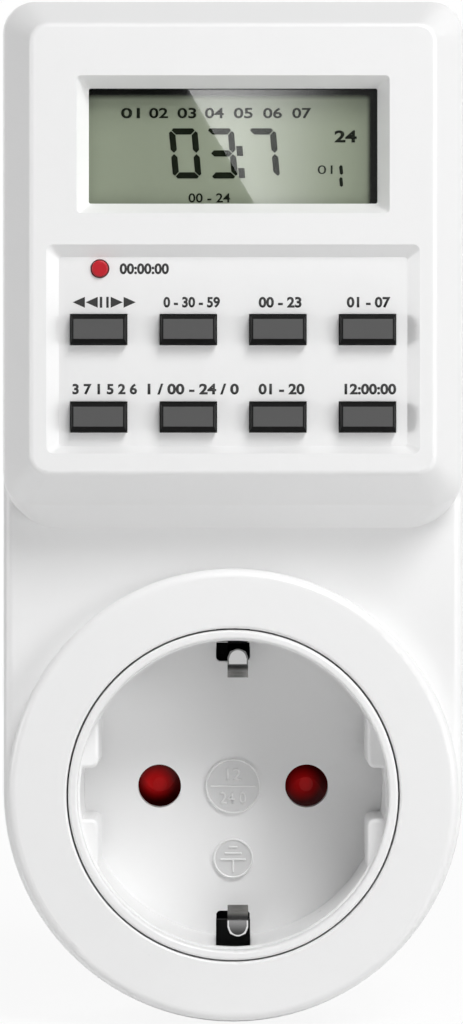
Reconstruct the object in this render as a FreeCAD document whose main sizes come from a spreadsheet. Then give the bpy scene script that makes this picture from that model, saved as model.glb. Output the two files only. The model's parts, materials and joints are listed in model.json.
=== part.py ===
"""Plug-in timer: a plug on the back, a socket on the front and a pod with display and keys above it.

Millimetres. The origin is the centre of the plug's engagement face and the socket axis is the
Y axis. The viewer stands on the -Y side, so a "front" value below is a distance along -Y from
the plug's face towards the viewer. X is to the viewer's right and Z is up.
"""

import FreeCAD, Part
import math
import os
import Sketcher

SIZES = {
    # Housing outline, seen from the front
    "mouth_radius": 19.5,
    "socket_surround": 9.5,
    "body_half_width": "=mouth_radius + socket_surround",
    "case_top": 99.7,
    "case_corner": 4.0,
    "case_wall": 1.8,
    # Distances in front of the plug's face
    "rear_plane": 17.0,
    "parting_front": 29.0,
    "body_front": 43.0,
    "pod_step_front": 46.3,
    "flange_front": 47.5,
    "pod_front": 53.5,
    "rear_wall": 2.0,
    "rear_round": 2.2,
    "body_front_round": 1.3,
    # Lip between the two shells
    "lip_height": 1.2,
    "lip_gap": 0.1,
    # Pod
    "pod_slope": 3.9,
    "pod_step_inset": 0.4,
    "pod_step_half_width": "=body_half_width - pod_step_inset",
    "pod_step_top": "=case_top - pod_step_inset",
    "panel_drop": 31.23,
    "panel_length": 25.84,
    "panel_high": "=case_top - panel_drop",
    "panel_low": "=panel_high - panel_length",
    "plateau_half_width": "=body_half_width - pod_slope",
    "plateau_margin": 2.53,
    "plateau_low": "=panel_low - plateau_margin",
    "plateau_high": "=case_top - pod_slope",
    "plateau_corner": 2.3,
    "plateau_round": 0.8,
    "pod_step_margin": 3.8,
    "pod_step_foot": "=plateau_low - pod_step_margin",
    "pod_step_corner": 3.4,
    "pod_foot_margin": 2.9,
    "pod_foot": "=pod_step_foot - pod_foot_margin",
    "pod_foot_corner": 7.2,
    "pod_skin": 2.07,
    "web_half": 0.6,
    "web_gap": 1.2,
    "cut_spare": 1.0,
    # Socket flange and its separate cup
    "flange_step": 0.7,
    "flange_radius": "=body_half_width - flange_step",
    "flange_round": 1.15,
    "rim_width": 1.15,
    "rim_gap": 0.2,
    "flange_hole_radius": "=mouth_radius + rim_width + rim_gap",
    "rim_round": 0.35,
    "mouth_land": 2.8,
    "mouth_ledge": 0.25,
    "recess_radius": "=mouth_radius - mouth_ledge",
    "recess_depth": 17.5,
    "floor_thickness": 2.5,
    "pin_hole_radius": 2.78,
    "rib_depth": 2.6,
    "rib_face": "=mouth_radius - rib_depth",
    "rib_gap_half": 3.2,
    "rib_below_rim": 3.0,
    "rib_corner": 1.0,
    "rib_top_round": 0.5,
    "earth_slot_half_width": 2.2,
    "earth_slot_depth": 3.4,
    "earth_slot_inner": "=mouth_radius - earth_slot_depth",
    "earth_slot_corner": 0.6,
    "earth_slot_below_rim": 3.6,
    "centre_disc_radius": 3.6,
    "earth_disc_radius": 2.6,
    "earth_disc_drop": 9.33,
    "disc_relief": 0.25,
    "cup_lug_half": 5.0,
    "cup_lug_length": 2.15,
    "cup_lug_reach": "=flange_hole_radius + cup_lug_length",
    "cup_lug_height": 2.0,
    # Plug
    "plug_clearance": 0.7,
    "plug_radius": "=mouth_radius - plug_clearance",
    "plug_key_half": 2.7,
    "plug_key_trim": 0.6,
    "plug_key_trim_half": 6.6,
    "plug_key_reach": "=plug_radius - plug_key_trim",
    "plug_face_wall": 3.0,
    "plug_round": 0.6,
    "pin_offset": 9.5,
    "pin_room": 4.7,
    "plug_bore_radius": "=pin_offset + pin_room",
    "plug_flat_wall": 2.0,
    "plug_flat": "=plug_bore_radius + plug_flat_wall",
    "pin_radius": 2.4,
    "pin_length": 19.0,
    "pin_tip_round": 1.44,
    "pin_shank_radius": 2.6,
    "pin_rear_radius": 2.2,
    "pin_inner_end": 9.0,
    "pin_collar_radius": 3.4,
    "pin_collar_height": 1.2,
    "pin_fit": 0.02,
    # Earth strips
    "earth_strip_width": 4.4,
    "earth_strip_thickness": 0.5,
    "earth_groove_gap": 0.1,
    "earth_groove_side_gap": 0.3,
    "earth_slot_gap": 0.2,
    "earth_groove_depth": 1.2,
    "earth_strip_tip": 2.0,
    "earth_spring_width": 2.6,
    "earth_spring_shift": 0.6,
    "earth_spring_thickness": 0.35,
    "earth_spring_tip_inset": 1.55,
    "earth_spring_tip": "=mouth_radius - earth_spring_tip_inset",
    "earth_spring_tip_depth": 5.0,
    "earth_spring_hook": 1.2,
    "earth_spring_corner": 1.1,
    "earth_spring_knee_inset": 3.3,
    "earth_spring_knee": "=mouth_radius - earth_spring_knee_inset",
    "earth_spring_knee_depth": 5.55,
    "earth_spring_bump_inset": 4.9,
    "earth_spring_bump": "=mouth_radius - earth_spring_bump_inset",
    "earth_spring_bump_depth": 7.8,
    "earth_spring_riser_inset": 1.2,
    "earth_spring_riser": "=mouth_radius - earth_spring_riser_inset",
    # Display
    "window_drop": 18.83,
    "window_centre": "=case_top - window_drop",
    "window_margin": 5.75,
    "window_half_width": "=plateau_half_width - window_margin",
    "window_half_height": 8.5,
    "window_side_bevel": 1.42,
    "window_glass_half_width": "=window_half_width - window_side_bevel",
    "window_glass_half_height": 7.15,
    "window_depth": 3.0,
    "window_corner": 0.5,
    "window_glass_corner": 0.25,
    "lens_margin": 1.2,
    "lens_thickness": 0.8,
    "lcd_gap": 0.2,
    "lcd_thickness": 2.2,
    "lcd_margin": 1.1,
    "lcd_margin_tall": 2.2,
    "lcd_frame_wall": 1.2,
    "zebra_width": 2.0,
    "zebra_inset": 0.6,
    # Key panel
    "panel_margin": 2.02,
    "panel_half_width": "=plateau_half_width - panel_margin",
    "panel_depth": 1.2,
    "panel_bevel": 1.5,
    "panel_bevel_low": 0.95,
    "panel_corner": 0.4,
    "panel_rim_corner": 0.8,
    "key_width": 6.9,
    "key_height": 3.65,
    "key_top_width": 6.4,
    "key_top_height": 2.35,
    "key_stand": 1.7,
    "key_bevel_height": 0.8,
    "key_gap": 0.12,
    "key_flange": 0.65,
    "key_flange_height": 0.9,
    "key_flange_gap": 0.1,
    "key_edge": 6.43,
    "key_pitch": "=(panel_half_width - key_edge) / 1.5",
    "key_row_drop": 10.47,
    "key_row_high": "=panel_high - key_row_drop",
    "key_row_foot": 4.54,
    "key_row_low": "=panel_low + key_row_foot",
    "reset_edge": 6.58,
    "reset_x": "=panel_half_width - reset_edge",
    "reset_drop": 2.94,
    "reset_z": "=panel_high - reset_drop",
    "reset_radius": 1.03,
    "reset_gap": 0.15,
    "reset_stand": 0.5,
    "reset_round": 0.26,
    "reset_flange": 0.8,
    "reset_travel": 0.6,
    # Boards
    "board_thickness": 1.6,
    "control_board_back": 44.0,
    "control_board_side_gap": 4.4,
    "control_board_half_width": "=body_half_width - control_board_side_gap",
    "control_board_foot_gap": 1.5,
    "control_board_low": "=plateau_low + control_board_foot_gap",
    "control_board_head_gap": 9.5,
    "control_board_high": "=case_top - control_board_head_gap",
    "power_board_back": 22.0,
    "power_board_side_gap": 3.6,
    "power_board_half_width": "=body_half_width - power_board_side_gap",
    "power_board_foot_gap": 3.6,
    "power_board_low": "=pod_foot + power_board_foot_gap",
    "power_board_head_gap": 10.3,
    "power_board_high": "=case_top - power_board_head_gap",
    "board_corner": 1.0,
    "mat_sheet": 1.0,
    "dome_base_radius": 3.1,
    "dome_top_radius": 1.9,
    "dome_wall": 0.6,
    "dome_gap": 0.1,
    "post_radius": 1.8,
    "post_gap": 0.3,
    "low_post_x": "=key_pitch",
    "low_post_z": "=(key_row_low + key_row_high) / 2",
    "high_post_side": 1.9,
    "high_post_x": "=control_board_half_width - high_post_side",
    "high_post_drop": 6.2,
    "high_post_z": "=control_board_high - high_post_drop",
    "stand_side": 3.2,
    "stand_x": "=power_board_half_width - stand_side",
    "stand_edge": 3.6,
    "stand_low_z": "=power_board_low + stand_edge",
    "stand_high_z": "=power_board_high - stand_edge",
    "stand_radius": 2.4,
    # Screws
    "screw_radius": 1.25,
    "screw_head_radius": 2.2,
    "screw_head_height": 1.7,
    "screw_gap": 0.05,
    "case_screw_length": 15.0,
    "case_screw_seat": 21.0,
    "screw_hole_gap": 0.25,
    "screw_hole_spare": 0.2,
    "head_hole_gap": 0.2,
    "screw_slot": 0.7,
    "screw_slot_depth_share": 0.5,
    "screw_slot_reach_share": 0.55,
    "screw_crown_height_share": 0.4,
    "screw_crown_width_share": 0.7,
    "screw_tip_width_share": 0.3,
    "boss_radius": 2.7,
    "rear_post_radius": 3.1,
    "upper_boss_side": 6.0,
    "upper_boss_x": "=body_half_width - upper_boss_side",
    "upper_boss_drop": 5.7,
    "upper_boss_z": "=case_top - upper_boss_drop",
    "lower_boss_inset": 5.0,
    "lower_boss_x": "=(body_half_width - lower_boss_inset) * sqrt(0.5)",
    "board_screw_length": 4.0,
    "board_screw_radius": 0.9,
    "board_screw_head_radius": 1.75,
    "board_screw_head_height": 1.3,
    # Shutter
    "shutter_thickness": 2.7,
    "shutter_gap": 0.3,
    "shutter_reach": 12.9,
    "shutter_half_width": 3.2,
    "shutter_end_round": 2.0,
    "shutter_hub_radius": 4.2,
    "shutter_ramp_start": 1.0,
    "shutter_ramp_edge": 0.7,
    "shutter_dish_radius": 2.4,
    "shutter_dish_foot": 0.9,
    "shutter_dish_depth": 0.9,
    "pivot_radius": 1.5,
    "pivot_gap": 0.05,
    "carrier_plate": 1.5,
    "carrier_radius": 15.6,
    "carrier_wall": 1.2,
    "carrier_hub_wall": 1.0,
    "spring_well_radius": 4.2,
    "spring_radius": 3.1,
    "spring_wire": 0.5,
    "spring_pitch": 0.8,
    "spring_turns": 2.0,
    # Contacts and bars
    "sleeve_radius": 2.95,
    "sleeve_wall": 0.5,
    "sleeve_floor": 1.0,
    "sleeve_mouth_radius": 3.3,
    "sleeve_mouth_height": 1.2,
    "sleeve_slot": 0.8,
    "sleeve_slot_length": 8.0,
    "sleeve_hole_gap": 0.15,
    "sleeve_front_gap": 0.2,
    "sleeve_lift": 3.0,
    "bar_thickness": 0.6,
    "bar_width": 5.0,
    "split_bar_width": 2.6,
    "split_bar_shift": 1.7,
    "bar_start": -3.0,
    "bar_riser": 5.7,
    "bar_end": "=stand_low_z",
    # Parts on the boards
    "relay_x": -13.6,
    "relay_rise": 25.0,
    "relay_z": "=power_board_low + relay_rise",
    "relay_width": 15.4,
    "relay_length": 19.0,
    "relay_height": 15.2,
    "relay_lead_inset": 1.75,
    "part_stand": 0.3,
    "part_corner": 0.5,
    "lead_radius": 0.35,
    "film_x": 8.6,
    "film_rise": 10.0,
    "film_z": "=power_board_low + film_rise",
    "film_length": 18.0,
    "film_width": 7.5,
    "film_height": 13.0,
    "film_pitch": 15.0,
    "can_x": 7.0,
    "can_rise": 27.0,
    "can_z": "=power_board_low + can_rise",
    "can_radius": 4.0,
    "can_height": 11.5,
    "can_groove": 0.5,
    "can_groove_rise": 2.0,
    "can_dish_rim": 0.8,
    "can_dish_wall": 0.4,
    "can_dish_depth": 0.25,
    "varistor_x": 19.0,
    "varistor_rise": 26.0,
    "varistor_z": "=power_board_low + varistor_rise",
    "varistor_radius": 4.6,
    "varistor_width": 3.6,
    "varistor_round": 0.9,
    "varistor_stand": 0.9,
    "varistor_pitch": 4.6,
    "fuse_x": -1.6,
    "fuse_rise": 24.0,
    "fuse_z": "=power_board_low + fuse_rise",
    "fuse_radius": 1.7,
    "fuse_length": 9.0,
    "fuse_lead_reach": 1.4,
    "chip_rise": 38.0,
    "chip_z": "=power_board_low + chip_rise",
    "chip_width": 6.2,
    "chip_length": 4.8,
    "chip_height": 1.8,
    "chip_pitch": 10.5,
    "chip_chamfer": 0.4,
    "solder_radius": 1.4,
    "solder_height": 0.9,
    "solder_shoulder_radius": 1.0,
    "solder_tip_radius": 0.3,
    "battery_x": -12.0,
    "battery_drop": 10.2,
    "battery_z": "=control_board_high - battery_drop",
    "battery_radius": 5.8,
    "battery_height": 5.2,
    "battery_edge": 0.6,
    "battery_crimp": 1.2,
    "clip_thickness": 0.4,
    "clip_width": 4.0,
    "clip_foot": 2.4,
    "clip_gap": 0.4,
    "controller_x": 6.0,
    "controller_drop": 12.2,
    "controller_z": "=control_board_high - controller_drop",
    "controller_side": 10.0,
    "controller_height": 1.2,
    "controller_chamfer": 0.3,
    "crystal_x": 17.0,
    "crystal_drop": 12.2,
    "crystal_z": "=control_board_high - crystal_drop",
    "crystal_radius": 1.5,
    "crystal_length": 6.2,
    "crystal_round": 0.4,
    "switch_side": 4.5,
    "switch_height": 1.5,
    "switch_pip_radius": 0.9,
    "switch_gap": 0.1,
    "link_side": 6.8,
    "link_x": "=stand_x - link_side",
    "link_drop": 4.9,
    "link_z": "=power_board_high - link_drop",
    "link_width": 7.6,
    "link_thickness": 0.9,
    "link_bow": 3.4,
}

CASE_SIDES = (-1, 1)
KEY_NAMES = (
    ("clock_key", "timer_key", "mode_key", "random_key"),
    ("week_key", "hour_key", "minute_key", "recall_key"),
)
KEY_COLUMNS = (1.5, 0.5, -0.5, -1.5)


class Term:
    """A size: its value now, and the spreadsheet expression that gives it."""

    def __init__(self, value, text=None):
        self.value = float(value)
        self.text = text or repr(float(value))

    def __add__(self, other):
        other = as_term(other)
        return Term(self.value + other.value, f"({self.text} + {other.text})")

    def __sub__(self, other):
        other = as_term(other)
        return Term(self.value - other.value, f"({self.text} - {other.text})")

    def __mul__(self, other):
        other = as_term(other)
        return Term(self.value * other.value, f"({self.text} * {other.text})")

    def __truediv__(self, other):
        other = as_term(other)
        return Term(self.value / other.value, f"({self.text} / {other.text})")

    def __neg__(self):
        return Term(-self.value, f"(0 - {self.text})")

    def __rsub__(self, other):
        return as_term(other) - self

    __radd__ = __add__
    __rmul__ = __mul__


def as_term(number):
    """Lets plain numbers stand beside sizes."""
    return number if isinstance(number, Term) else Term(number)


def root_of(number):
    return Term(math.sqrt(number.value), f"sqrt({number.text})")


class Sheet:
    """The spreadsheet of driving sizes, read by name."""

    def __init__(self, document, sizes):
        self.cells = document.addObject("Spreadsheet::Sheet", "Sizes")
        for row, (alias, value) in enumerate(sizes.items(), 1):
            self.cells.set(f"A{row}", alias.replace("_", " "))
            self.cells.set(f"B{row}", str(value))
            self.cells.setAlias(f"B{row}", alias)
        self.cells.recompute()

    def __getattr__(self, alias):
        return Term(self.cells.get(alias), f"Sizes.{alias}")


def tie(item, name, amount):
    """Binds a property to the sheet."""
    item.setExpression(name, as_term(amount).text)


class Drawing:
    """Draws in one sketch, with every point and radius tied to the sheet."""

    def __init__(self, sketch):
        self.sketch = sketch

    def constrain(self, *parts):
        return self.sketch.addConstraint(Sketcher.Constraint(*parts))

    def measure(self, kind, amount, *places):
        amount = as_term(amount)
        number = self.constrain(kind, *places, amount.value)
        self.sketch.setExpression(f"Constraints[{number}]", amount.text)

    def line(self, start, end):
        ends = [FreeCAD.Vector(as_term(a).value, as_term(b).value, 0) for a, b in (start, end)]
        return self.sketch.addGeometry(Part.LineSegment(*ends))

    def arc(self, centre, radius, first, last):
        """An anticlockwise arc between two angles in degrees."""
        middle = FreeCAD.Vector(as_term(centre[0]).value, as_term(centre[1]).value, 0)
        circle = Part.Circle(middle, FreeCAD.Vector(0, 0, 1), as_term(radius).value)
        return self.sketch.addGeometry(Part.ArcOfCircle(circle, math.radians(first), math.radians(last)))

    def circle(self, x, y, radius):
        middle = FreeCAD.Vector(as_term(x).value, as_term(y).value, 0)
        circle = Part.Circle(middle, FreeCAD.Vector(0, 0, 1), as_term(radius).value)
        edge = self.sketch.addGeometry(circle)
        self.measure("Radius", radius, edge)
        self.measure("DistanceX", x, edge, 3)
        self.measure("DistanceY", y, edge, 3)

    def path(self, points, closed=True):
        """Straight runs from point to point."""
        count = len(points) if closed else len(points) - 1
        edges = [self.line(points[i], points[(i + 1) % len(points)]) for i in range(count)]
        for i, edge in enumerate(edges):
            self.measure("DistanceX", points[i][0], edge, 1)
            self.measure("DistanceY", points[i][1], edge, 1)
            if i or closed:
                self.constrain("Coincident", edges[i - 1], 2, edge, 1)
        if not closed:
            self.measure("DistanceX", points[-1][0], edges[-1], 2)
            self.measure("DistanceY", points[-1][1], edges[-1], 2)

    def box(self, left, right, low, high):
        left, right, low, high = [as_term(side) for side in (left, right, low, high)]
        bottom = self.line((left, low), (right, low))
        rise = self.line((right, low), (right, high))
        top = self.line((right, high), (left, high))
        fall = self.line((left, high), (left, low))
        loop = (bottom, rise, top, fall)
        for i, edge in enumerate(loop):
            self.constrain("Coincident", loop[i - 1], 2, edge, 1)
            self.constrain("Vertical" if i % 2 else "Horizontal", edge)
        self.measure("DistanceX", left, bottom, 1)
        self.measure("DistanceY", low, bottom, 1)
        self.measure("DistanceX", right, top, 1)
        self.measure("DistanceY", high, top, 1)

    def round_box(self, left, right, low, high, low_corner, high_corner=None):
        """A box with rounded corners, which may differ between its foot and its top."""
        left, right, low, high = [as_term(side) for side in (left, right, low, high)]
        low_corner = as_term(low_corner)
        high_corner = low_corner if high_corner is None else as_term(high_corner)
        bottom = self.line((left + low_corner, low), (right - low_corner, low))
        rise = self.line((right, low + low_corner), (right, high - high_corner))
        top = self.line((right - high_corner, high), (left + high_corner, high))
        fall = self.line((left, high - high_corner), (left, low + low_corner))
        corners = (
            self.arc((right - low_corner, low + low_corner), low_corner, 270, 360),
            self.arc((right - high_corner, high - high_corner), high_corner, 0, 90),
            self.arc((left + high_corner, high - high_corner), high_corner, 90, 180),
            self.arc((left + low_corner, low + low_corner), low_corner, 180, 270),
        )
        sides = (bottom, rise, top, fall)
        for i, corner in enumerate(corners):
            self.constrain("Vertical" if i % 2 else "Horizontal", sides[i])
            self.constrain("Tangent", sides[i], 2, corner, 1)
            self.constrain("Tangent", corner, 2, sides[(i + 1) % 4], 1)
            self.measure("Radius", high_corner if i in (1, 2) else low_corner, corner)
        self.measure("DistanceY", low, bottom, 1)
        self.measure("DistanceX", right, rise, 1)
        self.measure("DistanceY", high, top, 1)
        self.measure("DistanceX", left, fall, 1)

    def case_outline(self, inset):
        """The housing from the front: a round foot about the socket axis and a square head."""
        half = size.body_half_width - inset
        high = size.case_top - inset
        corner = size.case_corner - inset
        foot = self.arc((0, 0), half, 180, 360)
        rise = self.line((half, 0), (half, high - corner))
        turn = self.arc((half - corner, high - corner), corner, 0, 90)
        top = self.line((half - corner, high), (-half + corner, high))
        back_turn = self.arc((-half + corner, high - corner), corner, 90, 180)
        fall = self.line((-half, high - corner), (-half, 0))
        loop = (foot, rise, turn, top, back_turn, fall)
        for i, edge in enumerate(loop):
            self.constrain("Tangent", loop[i - 1], 2, edge, 1)
        self.constrain("Coincident", foot, 3, -1, 1)
        self.constrain("Vertical", rise)
        self.constrain("Vertical", fall)
        self.constrain("Horizontal", top)
        self.measure("Radius", half, foot)
        self.measure("Radius", corner, turn)
        self.measure("Radius", corner, back_turn)
        self.measure("DistanceY", high, top, 1)

    def rib(self, side, level):
        """One guide rib's section: a flat face, a flat end and the cup's round wall behind."""
        reach = size.flange_hole_radius - size.rim_gap - size.rim_round
        far_x = root_of(reach * reach - size.rib_gap_half * size.rib_gap_half)
        far_z = root_of(reach * reach - size.rib_face * size.rib_face)
        near = (size.rib_face * side, size.rib_gap_half * level)
        out = (far_x * side, size.rib_gap_half * level)
        up = (size.rib_face * side, far_z * level)
        angles = sorted(
            math.degrees(math.atan2(z.value, x.value)) % 360 for x, z in (out, up)
        )
        end = self.line(near, out)
        face = self.line(up, near)
        wall = self.arc((0, 0), reach, *angles)
        low_first = side * level > 0
        self.constrain("Coincident", end, 1, face, 2)
        self.constrain("Coincident", end, 2, wall, 1 if low_first else 2)
        self.constrain("Coincident", face, 1, wall, 2 if low_first else 1)
        self.constrain("Coincident", wall, 3, -1, 1)
        self.constrain("Horizontal", end)
        self.constrain("Vertical", face)
        self.measure("Radius", reach, wall)
        self.measure("DistanceX", near[0], end, 1)
        self.measure("DistanceY", near[1], end, 1)


def new_body(label, x=0, z=0):
    """A sub-part with a Placement of its own; its sketches are drawn about its own axis."""
    body = document.addObject("PartDesign::Body", label)
    body.Label = label
    tie(body, "Placement.Base.x", x)
    tie(body, "Placement.Base.z", z)
    return body


def origin_item(body, role):
    return next(item for item in body.Origin.OriginFeatures if item.Role == role)


def sketch_on(body, plane, offset, draw):
    sketch = body.newObject("Sketcher::SketchObject", f"{body.Name}_sketch")
    sketch.AttachmentSupport = [(origin_item(body, plane), "")]
    sketch.MapMode = "FlatFace"
    tie(sketch, "AttachmentOffset.Base.z", offset)
    draw(Drawing(sketch))
    return sketch


def add_slab(body, draw, back, front, plane="XZ_Plane"):
    """Adds an outline between two levels: fronts, or X and Z on the other planes."""
    sketch = sketch_on(body, plane, back, draw)
    pad = body.newObject("PartDesign::Pad", f"{body.Name}_pad")
    pad.Profile = sketch
    tie(pad, "Length", front - back)
    return pad


def cut_slab(body, draw, back, front, plane="XZ_Plane"):
    """Cuts an outline between two levels."""
    sketch = sketch_on(body, plane, front, draw)
    pocket = body.newObject("PartDesign::Pocket", f"{body.Name}_cut")
    pocket.Profile = sketch
    tie(pocket, "Length", front - back)
    cuts.append(pocket)
    return pocket


def loft(body, kind, sections):
    """Joins outlines at several fronts by straight walls."""
    sketches = [sketch_on(body, "XZ_Plane", front, draw) for front, draw in sections]
    item = body.newObject(f"PartDesign::{kind}", f"{body.Name}_loft")
    item.Profile = sketches[0]
    item.Sections = sketches[1:]
    item.Ruled = True
    if kind == "SubtractiveLoft":
        cuts.append(item)
    return item


def revolve(body, points):
    """Turns a section of (front, radius) points about the body's own socket-ward axis."""
    flipped = [(-as_term(front), radius) for front, radius in points]
    sketch = sketch_on(body, "YZ_Plane", 0, lambda drawing: drawing.path(flipped))
    turned = body.newObject("PartDesign::Revolution", f"{body.Name}_turned")
    turned.Profile = sketch
    turned.ReferenceAxis = (origin_item(body, "Y_Axis"), [""])
    turned.Angle = 360
    return turned


def bend_strip(body, profile_plane, profile_offset, profile, route):
    """Carries a strip's section along straight runs in the YZ plane."""
    section = sketch_on(body, profile_plane, profile_offset, profile)
    flipped = [(-as_term(front), z) for front, z in route]
    path = sketch_on(body, "YZ_Plane", 0, lambda drawing: drawing.path(flipped, closed=False))
    pipe = body.newObject("PartDesign::AdditivePipe", f"{body.Name}_strip")
    pipe.Profile = section
    pipe.Spine = (path, [])
    pipe.Transition = "Right corner"
    return pipe


def soften(body, radius, wanted, kind="Fillet"):
    """Rounds the edges for which wanted(edge) is true."""
    document.recompute()
    check_states()
    tip = body.Tip
    names = [f"Edge{i}" for i, edge in enumerate(tip.Shape.Edges, 1) if wanted(edge)]
    if not names:
        raise ValueError(f"{body.Label}: no edge to soften")
    item = body.newObject(f"PartDesign::{kind}", f"{body.Name}_soft")
    item.Base = (tip, names)
    tie(item, "Radius" if kind == "Fillet" else "Size", radius)
    return item


def at_front(front, keep=lambda point: True):
    """True for edges that lie whole at one front and whose middle is wanted."""
    level = -as_term(front).value

    def wanted(edge):
        box = edge.BoundBox
        middle = edge.valueAt((edge.FirstParameter + edge.LastParameter) / 2)
        return abs(box.YMin - level) < 0.01 and abs(box.YMax - level) < 0.01 and keep(middle)

    return wanted


def in_order(*levels):
    """Two levels, the lower first."""
    return sorted(levels, key=lambda level: level.value)


def along_axis(x, z, reach=0.05):
    """True for straight edges along the socket axis at (|x|, |z|)."""
    x, z = as_term(x).value, as_term(z).value

    def wanted(edge):
        box = edge.BoundBox
        flat = box.XLength < 0.01 and box.ZLength < 0.01
        return flat and abs(abs(box.XMin) - x) < reach and abs(abs(box.ZMin) - z) < reach

    return wanted


def circles(places, radius):
    """Draws one circle at each place."""
    return lambda drawing: [drawing.circle(x, z, radius) for x, z in places]


def ring(outer, inner):
    return lambda drawing: [drawing.circle(0, 0, radius) for radius in (outer, inner)]


def case_screw_places():
    places = [(size.upper_boss_x * side, size.upper_boss_z) for side in CASE_SIDES]
    return places + [(size.lower_boss_x * side, -size.lower_boss_x) for side in CASE_SIDES]


def control_post_places():
    low = [(size.low_post_x * side, size.low_post_z) for side in CASE_SIDES]
    return low + [(size.high_post_x * side, size.high_post_z) for side in CASE_SIDES]


def power_stand_places():
    levels = (size.stand_low_z, size.stand_high_z)
    return [(size.stand_x * side, level) for side in CASE_SIDES for level in levels]


def key_places():
    rows = (size.key_row_low, size.key_row_high)
    return [
        (name, size.key_pitch * column, level)
        for names, level in zip(KEY_NAMES, rows)
        for name, column in zip(names, KEY_COLUMNS)
    ]


def pod_section(half_width, low, high, low_corner, high_corner):
    return lambda drawing: drawing.round_box(-half_width, half_width, low, high, low_corner, high_corner)


def window_section(half_width, half_height, corner):
    middle = size.window_centre
    return lambda drawing: drawing.round_box(
        -half_width, half_width, middle - half_height, middle + half_height, corner)


def build_front_case():
    """Front shell: round-footed body, two-step pod, socket flange, window and key panel."""
    body = new_body("front_case")
    wall = size.case_wall
    add_slab(body, lambda d: d.case_outline(0), size.parting_front, size.body_front)
    soften(body, size.body_front_round, at_front(size.body_front))
    half, top, corner = size.body_half_width, size.case_top, size.case_corner
    foot = pod_section(half, size.pod_foot, top, size.pod_foot_corner, corner)
    step_half, step_top = size.pod_step_half_width, size.pod_step_top
    step = pod_section(step_half, size.pod_step_foot, step_top, size.pod_step_corner, corner)
    plateau = pod_section(size.plateau_half_width, size.plateau_low, size.plateau_high,
                          size.plateau_corner, size.plateau_corner)
    loft(body, "AdditiveLoft", [
        (size.body_front - size.body_front_round, foot),
        (size.body_front, foot),
        (size.pod_step_front, step),
        (size.pod_front, plateau),
    ])
    soften(body, size.plateau_round, at_front(size.pod_front))
    add_slab(body, circles([(0, 0)], size.flange_radius), size.body_front - wall, size.flange_front)
    soften(body, size.flange_round, at_front(size.flange_front))

    # Hollow inside
    cut_slab(body, lambda d: d.case_outline(wall), size.parting_front, size.body_front - wall)
    rise = (size.pod_front - ceiling()) / (size.pod_front - size.pod_step_front)
    slope_half = size.plateau_half_width + (step_half - size.plateau_half_width) * rise
    slope_low = size.plateau_low - (size.plateau_low - size.pod_step_foot) * rise
    slope_high = size.plateau_high + (step_top - size.plateau_high) * rise
    skin = size.pod_skin
    inner_corner = corner - wall
    foot_room = pod_section(half - wall, size.pod_foot + wall, top - wall,
                            size.pod_foot_corner - wall, inner_corner)
    step_room = pod_section(step_half - wall, size.pod_step_foot + wall, step_top - wall,
                            inner_corner, inner_corner)
    slope_room = pod_section(slope_half - skin, slope_low + skin, slope_high - skin,
                             inner_corner, inner_corner)
    loft(body, "SubtractiveLoft", [
        (size.body_front - wall - wall, foot_room),
        (size.body_front - wall, foot_room),
        (size.pod_step_front - skin / 2, step_room),
        (ceiling(), slope_room),
    ])
    tube_radius = size.flange_hole_radius + wall
    cut_slab(body, ring(size.flange_radius - wall, tube_radius),
             size.body_front - wall - size.cut_spare / 2, size.flange_front - wall)
    cut_slab(body, lambda d: d.case_outline(wall / 2), size.parting_front,
             size.parting_front + size.lip_height + size.lip_gap)

    # Tube that holds the socket cup, screw bosses and board posts
    add_slab(body, circles([(0, 0)], tube_radius), cup_seat(), size.flange_front - wall)
    uppers = case_screw_places()[:2]
    lowers = case_screw_places()[2:]
    add_slab(body, circles(uppers, size.boss_radius), size.parting_front, ceiling() + wall / 2)
    add_slab(body, circles(lowers, size.boss_radius), size.parting_front, size.flange_front - wall / 2)
    web_low, web_high = size.upper_boss_z - size.web_half, size.upper_boss_z + size.web_half
    for side in CASE_SIDES:
        near, far = size.upper_boss_x * side, (half - wall / 2) * side
        left, right = (near, far) if side > 0 else (far, near)
        add_slab(body, lambda d: d.box(left, right, web_low, web_high),
                 size.parting_front + size.lip_height + size.web_gap, size.pod_step_front - wall)
    add_slab(body, circles(control_post_places(), size.post_radius), control_front(),
             ceiling() + wall / 2)
    cut_slab(body, circles([(0, 0)], size.flange_hole_radius), cup_seat(), size.flange_front)
    soften(body, size.rim_round, at_front(size.flange_front, is_flange_hole))
    slot = size.earth_slot_half_width + wall / 2
    for side in CASE_SIDES:
        zs = in_order((tube_radius + size.cut_spare) * side, size.mouth_radius * side)
        cut_slab(body, lambda d: d.box(-slot, slot, *zs), cup_seat(),
                 size.flange_front - size.earth_slot_below_rim)
    bore = size.screw_radius + size.screw_gap
    cut_slab(body, circles(case_screw_places(), bore), size.parting_front,
             size.case_screw_seat + size.case_screw_length + size.cut_spare)
    cut_slab(body, circles(control_post_places(), size.board_screw_radius + size.screw_gap),
             control_front(), size.control_board_back + size.board_screw_length + size.screw_hole_spare)

    # Display window with bevelled sides, sunk key panel and its holes
    loft(body, "SubtractiveLoft", [
        (size.pod_front, window_section(size.window_half_width, size.window_half_height,
                                        size.window_corner)),
        (size.pod_front - size.window_depth, window_section(size.window_glass_half_width,
                                                            size.window_glass_half_height,
                                                            size.window_glass_corner)),
    ])
    bevel, bevel_low = size.panel_bevel, size.panel_bevel_low
    panel = size.panel_half_width
    loft(body, "SubtractiveLoft", [
        (size.pod_front, lambda d: d.round_box(-panel, panel, size.panel_low, size.panel_high,
                                               size.panel_rim_corner)),
        (panel_front(), lambda d: d.round_box(-panel + bevel, panel - bevel,
                                              size.panel_low + bevel_low, size.panel_high - bevel,
                                              size.panel_corner)),
    ])
    half_hole = size.key_width / 2 + size.key_gap
    tall_hole = size.key_height / 2 + size.key_gap

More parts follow.
